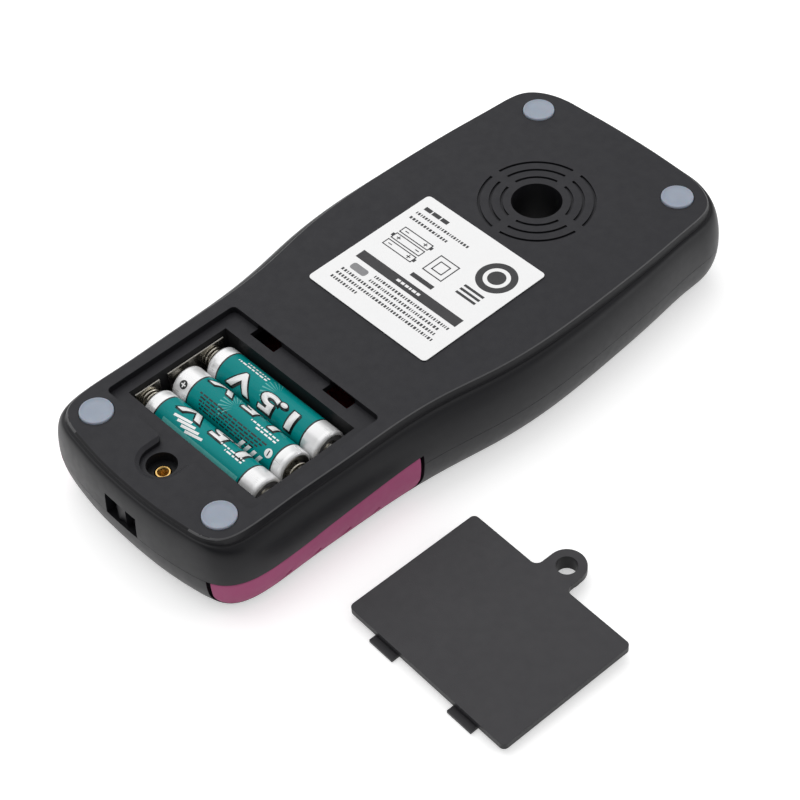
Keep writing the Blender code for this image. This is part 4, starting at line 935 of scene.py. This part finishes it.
def makeCellPrint(k):
    look, way, half, shade = cellPrint["cells"][k], cell["ways"][k], cell["body"] / 2, cellPrint["shade"]
    shift = way * cell["shifts"][k]
    positive = -(shift + way * (half - 3.4))
    negative = -(shift - way * (half - cell["negativeBand"] - 2.0))

    def rating(x, t, bolder):
        return flatText(cellPrint["rating"], cellPrint["size"], (x, t), bolder, cellPrint["wider"])

    dark = [rating(-shift, look["ratingT"], cellPrint["outline"]),
            rating(-shift - shade, look["ratingT"] + shade, cellPrint["outline"])]
    white = [rating(-shift, look["ratingT"], cellPrint["body"])]
    for step, t in enumerate(look["dark"]):
        dark += finePrint(-12.5 + step, 13.5 - 0.5 * step, t, 0.45, 40 + step + 7 * k)
    for step, t in enumerate(look["small"]):
        start, stop = look["smallX"]
        white += finePrint(-stop, -start - 2.5 * step, t, 0.50, 60 + step + k, 0.3, 1.6)
    if "leaningBars" in look:
        x, t = look["leaningBars"]
        white += [bar(-x - 2.3 * step, t + 0.12 * step, 0.62, 1.35, lean=0.85) for step in range(-1, 3)]
    if "longBars" in look:
        x, t = look["longBars"]
        white += [bar(x - 2.0 * step, t + 0.60 * step, 3.0, 0.37, turn=10.5)
                  for step in (-1.5, -0.5, 0.5, 1.5)]
    pale = rays(-look["rays"][0], look["rays"][1], 5.5, 55, 9) if "rays" in look else []
    # The pale band and its thin line along the first cell are a painted sheen, where the cylinder catches the
    # light.
    if "pale" in look:
        t, wide = look["pale"]
        pale += [bar(-shift, t, half - 7.0, wide), bar(-shift, t + 1.6, half - 7.0, 0.2)]
    r, spots = cellPrint["discR"], look["discT"]
    for t in spots:
        dark.append(disc(positive, t, r, 40))
        white.append(disc(negative, t, r, 40))
    plus = [bar(positive, t, 0.62 * r, 0.17) for t in spots]
    plus += [bar(positive, t, 0.17, 0.62 * r) for t in spots]
    minus = [bar(negative, t, 0.17, 0.6 * r) for t in spots]
    layers = [(pale, 0.012, "paleInkAndSheen"), (dark, 0.025, "darkInk"), (white, 0.05, "whiteInk"),
              (plus, 0.075, "whiteInk"), (minus, 0.075, "darkInk")]
    return layPrint("cell_%d_print" % (k + 1), layers, cellMap(k), strip=cellPrint["strip"])


for k in range(3):
    placeOn(makeCellPrint(k), "cell_wrap")
print("cell prints made")


# Sticker

label = dict(half=22.6, y=26.8, thick=0.15, corner=1.3, disc=(14.1, 12.4), discR=(5.8, 3.8, 2.6),
             rows=((-9.6, 18.6), (-9.6, 17.2), (-18.4, 17.8), (-18.4, 18.4), (-18.4, -8.0)), rowsY=-10.0,
             rowStep=1.95)
labelZ = backZ + seat + label["thick"]


def makeLabel():
    outline = roundedRectangle(0, label["y"], label["half"], label["half"], label["corner"])
    return soften(prism("sticker", outline, backZ + seat, labelZ, "labelPaper"), 0.03, segments=2)


# Places on the sticker are measured from its middle, x to the right and y up as it reads.
def makeLabelPrint():
    ink = [bar(x, 18.2, half, 0.70) for x, half in ((-18.2, 1.3), (-15.0, 1.5), (-11.8, 1.3))]
    ink += finePrint(-20.0, 0.6, 15.4, 0.95, 3, 0.3, 0.8) + finePrint(-20.0, -5.5, 12.9, 0.95, 4, 0.3, 0.8)
    for k in range(3):    # three cells drawn in outline, with their polarity
        y = 8.0 - 3.2 * k
        button, plus, minus = (-18.3, -16.0, -8.8) if k == 1 else (-6.5, -8.8, -16.0)
        ink += [bar(-12.4, y + 1.15, 5.4, 0.17), bar(-12.4, y - 1.15, 5.4, 0.17), bar(-17.8, y, 0.17, 1.3),
                bar(-7.0, y, 0.17, 1.3), bar(button, y, 0.35, 0.6), bar(plus, y, 0.7, 0.16),
                bar(plus, y, 0.16, 0.7), bar(minus, y, 0.7, 0.16)]
    ink.append(bar(0.6, -2.3, 4.1, 0.75))
    for side in (-1, 1):    # a square in a square
        for half, x in ((3.5, 3.68), (1.8, 1.98)):
            ink += [bar(0.8 + side * half, 4.6, 0.18, half), bar(0.8, 4.6 + side * half, x, 0.18)]
    around, middle, dot = (disc(*label["disc"], r, segments)
                           for r, segments in zip(label["discR"], (72, 48, 48)))
    ink += [around] + [bar(13.4, y, 3.6, 0.42) for y in (4.6, 3.0, 1.4)] + [bar(0.0, -6.6, 19.2, 1.65)]
    for step, (start, stop) in enumerate(label["rows"]):
        ink += finePrint(start, stop, label["rowsY"] - label["rowStep"] * step, 0.95, 11 + step, 0.3, 0.75)
    grey = [flatOutline(roundedRectangle(-14.6, -11.1, 2.9, 1.25, 0.9))]
    white = [middle] + finePrint(-4.6, 4.6, -6.6, 0.85, 31, 0.7, 1.4)
    return layPrint("sticker_print", [(ink, 0.012, "labelInk"), (grey, 0.012, "labelGrey"),
                                      (white, 0.03, "labelPaper"), ([dot], 0.048, "labelInk")],
                    lambda p: p + (0, label["y"], labelZ), thick=0.012)


placeOn(makeLabel(), "label", "rating_label")
placeOn(makeLabelPrint(), "label")
print("sticker made")


# Pads, screw insert and contacts

def makePad(k):
    low, high = padFloorZ + seat, backZ + pads["rise"]
    r, inner, dish = pads["r"], pads["r"] - pads["rim"], pads["dish"]
    profile = [(r, low), (r, high - 0.25), (r - 0.05, high - 0.12), (r - 0.14, high - 0.04), (r - 0.26, high),
               (inner, high - 0.01), (inner - 0.12, high - 0.06), (inner - 0.25, high - dish),
               (0.6 * r, high - dish - 0.02), (0.3, high - dish - 0.03)]
    return smooth(turned("pad_%d" % (k + 1), profile, pads["spots"][k], 96, "padRubber"), 50)


for k in range(4):
    placeOn(makePad(k), "pad", "foot_pad_%d" % (k + 1))


# Plain outside, with the ridges of its thread inside.
def makeInsert():
    top, r, holeR = insertTopZ + seat, insert["r"], insert["holeR"]
    foot = top - insert["length"]
    profile = [(r, foot), (r, top - 0.2), (r - 0.2, top), (holeR + 0.35, top), (holeR + 0.1, top - 0.25)]
    for turn in range(insert["threadTurns"]):
        z = top - 0.4 - insert["threadPitch"] * turn
        profile += [(holeR, z), (holeR + insert["threadDepth"], z - insert["threadPitch"] / 2)]
    profile += [(holeR, foot + insert["floor"]), (0.2, foot + insert["floor"])]
    return smooth(turned("brass_insert", profile, (0, earY), 64, "brass"), 30)


placeOn(makeInsert(), "brass", "cover_insert")

spring = dict(wire=0.30, baseR=3.2, tipR=2.4, turns=3, plate=0.4)


# Conical helix: the radius shrinks evenly, and the pitch is eased at both ends, so the end turns lie closed.
def makeSpring(k):
    turns, wire = spring["turns"], spring["wire"]
    root = bayHalfX - seat - spring["plate"] - seat - wire
    tip = cell["body"] / 2 - cell["shifts"][k] + seat + wire
    share = np.linspace(0, 1, 48 * turns + 1)
    eased = np.clip((share * turns - 0.4) / (turns - 0.8), 0, 1)
    r = spring["baseR"] + (spring["tipR"] - spring["baseR"]) * share
    angle = 2 * np.pi * turns * share
    path = np.column_stack([-cell["ways"][k] * (root + (tip - root) * eased), cellY(k) + r * np.cos(angle),
                            cellZ + r * np.sin(angle)])
    ahead = np.gradient(path, axis=0)
    ahead /= np.linalg.norm(ahead, axis=1)[:, None]
    across = np.cross(ahead, (1.0, 0.0, 0.0))
    across /= np.linalg.norm(across, axis=1)[:, None]
    other, around = np.cross(ahead, across), fullTurn(12)[:, None]
    rings = path[:, None] + wire * (np.cos(around) * across[:, None] + np.sin(around) * other[:, None])
    return smooth(loft("spring_%d" % (k + 1), rings, "springSteel"), 50)


for k in range(3):
    placeOn(makeSpring(k), "spring_steel", "contact_spring_%d" % (k + 1))

# A thin bright strip on the top edge of each contact plate, which stands against the bay's end wall: a
# painted highlight where the edge catches the light.
plateHighlight = dict(inset=0.08, gap=0.02, rise=0.10)


def makePlateHighlight(name):
    low, high = (np.array(corner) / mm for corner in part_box("contact_plate_" + name))
    outer = low[0] if low[0] < 0 else high[0]
    inner = outer - math.copysign(spring["plate"], outer)
    x0, x1 = min(outer, inner) + plateHighlight["inset"], max(outer, inner) - plateHighlight["inset"]
    return prism("plate_highlight_" + name, rectangle(x0, x1, low[1], high[1]), high[2] + plateHighlight["gap"],
                 high[2] + plateHighlight["rise"], "plateHighlight")


for name in ("short", "long", "link", "single"):
    placeOn(makePlateHighlight(name), "nickel")
print("pads, insert, springs and plate edges made")


# Keys, window and ring on the front

def makeKey(name, x, y, halfX, halfY, corner):
    low, edge, flange = front["keySunk"], front["keyEdge"], front["keyFlange"]
    flangeLow = frontWall + fit
    flangeHigh = flangeLow + front["keyFlangeThick"]
    switchZ = front["boardZ"] - seat - front["switchBody"] - front["switchButton"]
    # Each row is a height, and how far the cap reaches past the key's outline there.
    rows = [(low, -edge - 1.6), (low + 0.02, -edge - 0.4)]
    rows += [(low + edge * (1 - math.cos(a)), -edge * (1 - math.sin(a)))
             for a in np.radians((15, 35, 55, 72, 90))]
    rows += [(flangeLow, 0), (flangeLow, flange), (flangeHigh, flange)]
    rings = [atHeight(roundedRectangle(x, y, halfX + out, halfY + out, corner + out, 12), z)
             for z, out in rows]
    piece = loft("key_cap_" + name, rings, "keyRubber")
    join(piece, rod("stem", x, y, front["keyStemR"], flangeHigh - 0.4, switchZ - fit - front["keyPress"]))
    return soften(piece, 0)


for spec in front["keys"]:
    placeOn(makeKey(*spec), "key", "key_" + spec[0], body=spec[0] + "_key")


def makeWindow():
    room, low = front["ledge"] - fit, front["lensSunk"]
    halfX, halfY = front["windowHalfX"] + room, front["windowHalfY"] + room
    outline = roundedRectangle(0, front["windowY"], halfX, halfY, room, 12)
    return soften(prism("window_glass", outline, low, low + front["lensThick"], "windowGloss"), 0.15)


def makeRing():
    low, high = hole["ringSunk"], hole["ringSunk"] + hole["ringThick"]
    inner, outer = hole["r"] + seat, hole["ringR"]
    profile = [(inner, low + 0.3), (inner + 0.1, low + 0.1), (inner + 0.3, low), (outer - 0.3, low),
               (outer - 0.1, low + 0.1), (outer, low + 0.3), (outer, high), (inner, high)]
    return soften(turned("ring_diffuser", profile, (0, holeY), 128, "ringDiffuser", closed=True), 0)


placeOn(makeWindow(), "window", "display_lens")
placeOn(makeRing(), "diffuser", "light_ring")

# Nodes that keep their own shape get their finish here.
carried = dict(
    displayGlass="display_panel", boardMask="main_board sensor_board", coilCopper="sensor_coil",
    blackMoulding="buzzer switch_1 switch_2 switch_3",
    nickel="contact_plate_short contact_plate_long contact_plate_link contact_plate_single",
    zinc="shell_screw_1 shell_screw_2 shell_screw_3 shell_screw_4",
)
for finish, names in carried.items():
    for name in names.split():
        dress(nodes[name], finish)
    print("dressed with", finish + ":", names)


# Floor, light and camera

stage = dict(floorHalf=2.0, floorGlow=0.42, worldFill=0.62, horizon=1.0, zenith=0.30,
             lamps=(("softbox", (-0.55, 0.10, 0.90), (1.3, 1.3), 5.0),
                    ("rim", (0.55, 0.60, 0.30), (0.5, 0.3), 0.8)),
             card=dict(place=(0.90, -0.79, 0.42), size=(2.2, 1.0)))
view = dict(azimuth=48.816, elevation=47.229, roll=-2.918, distance=0.598262, aim=(0.009587, 0.006687, 0.0),
            lens=99.698)


# It glows a little where the camera or gloss sees it, so it is white and keeps the shadow.
def makeFloor():
    half = stage["floorHalf"] / mm
    tree = finishes["floorPaper"].node_tree
    glow = put(tree, "MapRange", Value=eitherRay(tree, "Camera", "Glossy"), To_Max=stage["floorGlow"])
    fill(tree, tree.nodes["Principled BSDF"], Emission_Strength=glow.outputs["Result"],
         Emission_Color=(1, 1, 1, 1))
    floor = makePiece("floor", atHeight(rectangle(-half, half, -half, half), -0.01), [[0, 1, 2, 3]],
                      "floorPaper")
    if floor.data.polygons[0].normal.z < 0:
        floor.data.flip_normals()


# A dark card behind the camera, which shows only as a reflection in the sides that face it.
def makeCard():
    card = stage["card"]
    halfX, halfY = (side / 2 / mm for side in card["size"])
    sheet = makePiece("card", atHeight(rectangle(-halfX, halfX, -halfY, halfY), 0), [[0, 1, 2, 3]],
                      "cardBlack")
    turn = Vector(card["place"]).to_track_quat("Z", "Y").to_matrix().to_4x4()
    moved(sheet, Matrix.Translation(card["place"]) @ turn)
    sheet.visible_camera = sheet.visible_diffuse = sheet.visible_shadow = False


def makeLamp(name, place, size, power):
    lamp = bpy.data.lights.new(name, "AREA")
    lamp.shape, lamp.energy = "RECTANGLE", power
    lamp.size, lamp.size_y = size
    holder = link(name, lamp)
    holder.location = place
    holder.rotation_euler = (-Vector(place)).to_track_quat("-Z", "Y").to_euler()


# White where the camera or glass sees it, paler towards the zenith in gloss, and an even fill for the rest.
def makeWorld():
    world = bpy.data.worlds.new("studio")
    world.use_nodes = True
    tree = world.node_tree
    up = put(tree, "SeparateXYZ", Vector=put(tree, "TexCoord").outputs["Generated"])
    sky = put(tree, "MapRange", Value=up.outputs["Z"], To_Min=stage["horizon"], To_Max=stage["zenith"])
    glossy = put(tree, "LightPath").outputs["Is Glossy Ray"]
    strength = mixed(tree, glossy, stage["worldFill"], sky.outputs["Result"], "FLOAT")
    strength = mixed(tree, eitherRay(tree, "Camera", "Transmission"), strength, 1.0, "FLOAT")
    fill(tree, tree.nodes["Background"], Strength=strength, Color=(1, 1, 1, 1))
    bpy.context.scene.world = world


# The camera's back axis points from the aim to the camera; right and up are turned about it by the roll.
def makeCamera():
    a, e, roll = (math.radians(view[key]) for key in ("azimuth", "elevation", "roll"))
    back = Vector((math.sin(a) * math.cos(e), -math.cos(a) * math.cos(e), math.sin(e)))
    right = Vector((math.cos(a), math.sin(a), 0))
    up = back.cross(right)
    rolledRight = math.cos(roll) * right + math.sin(roll) * up
    rolledUp = -math.sin(roll) * right + math.cos(roll) * up
    camera = link("camera", bpy.data.cameras.new("camera"))
    camera.data.lens, camera.data.sensor_width = view["lens"], 36
    turn = Matrix((rolledRight, rolledUp, back)).transposed().to_4x4()
    camera.matrix_world = Matrix.Translation(Vector(view["aim"]) + back * view["distance"]) @ turn
    bpy.context.scene.camera = camera


makeFloor()
makeCard()
for lampSpec in stage["lamps"]:
    makeLamp(*lampSpec)
makeWorld()
makeCamera()
bpy.context.scene.view_settings.view_transform = "Standard"
print("stage set")
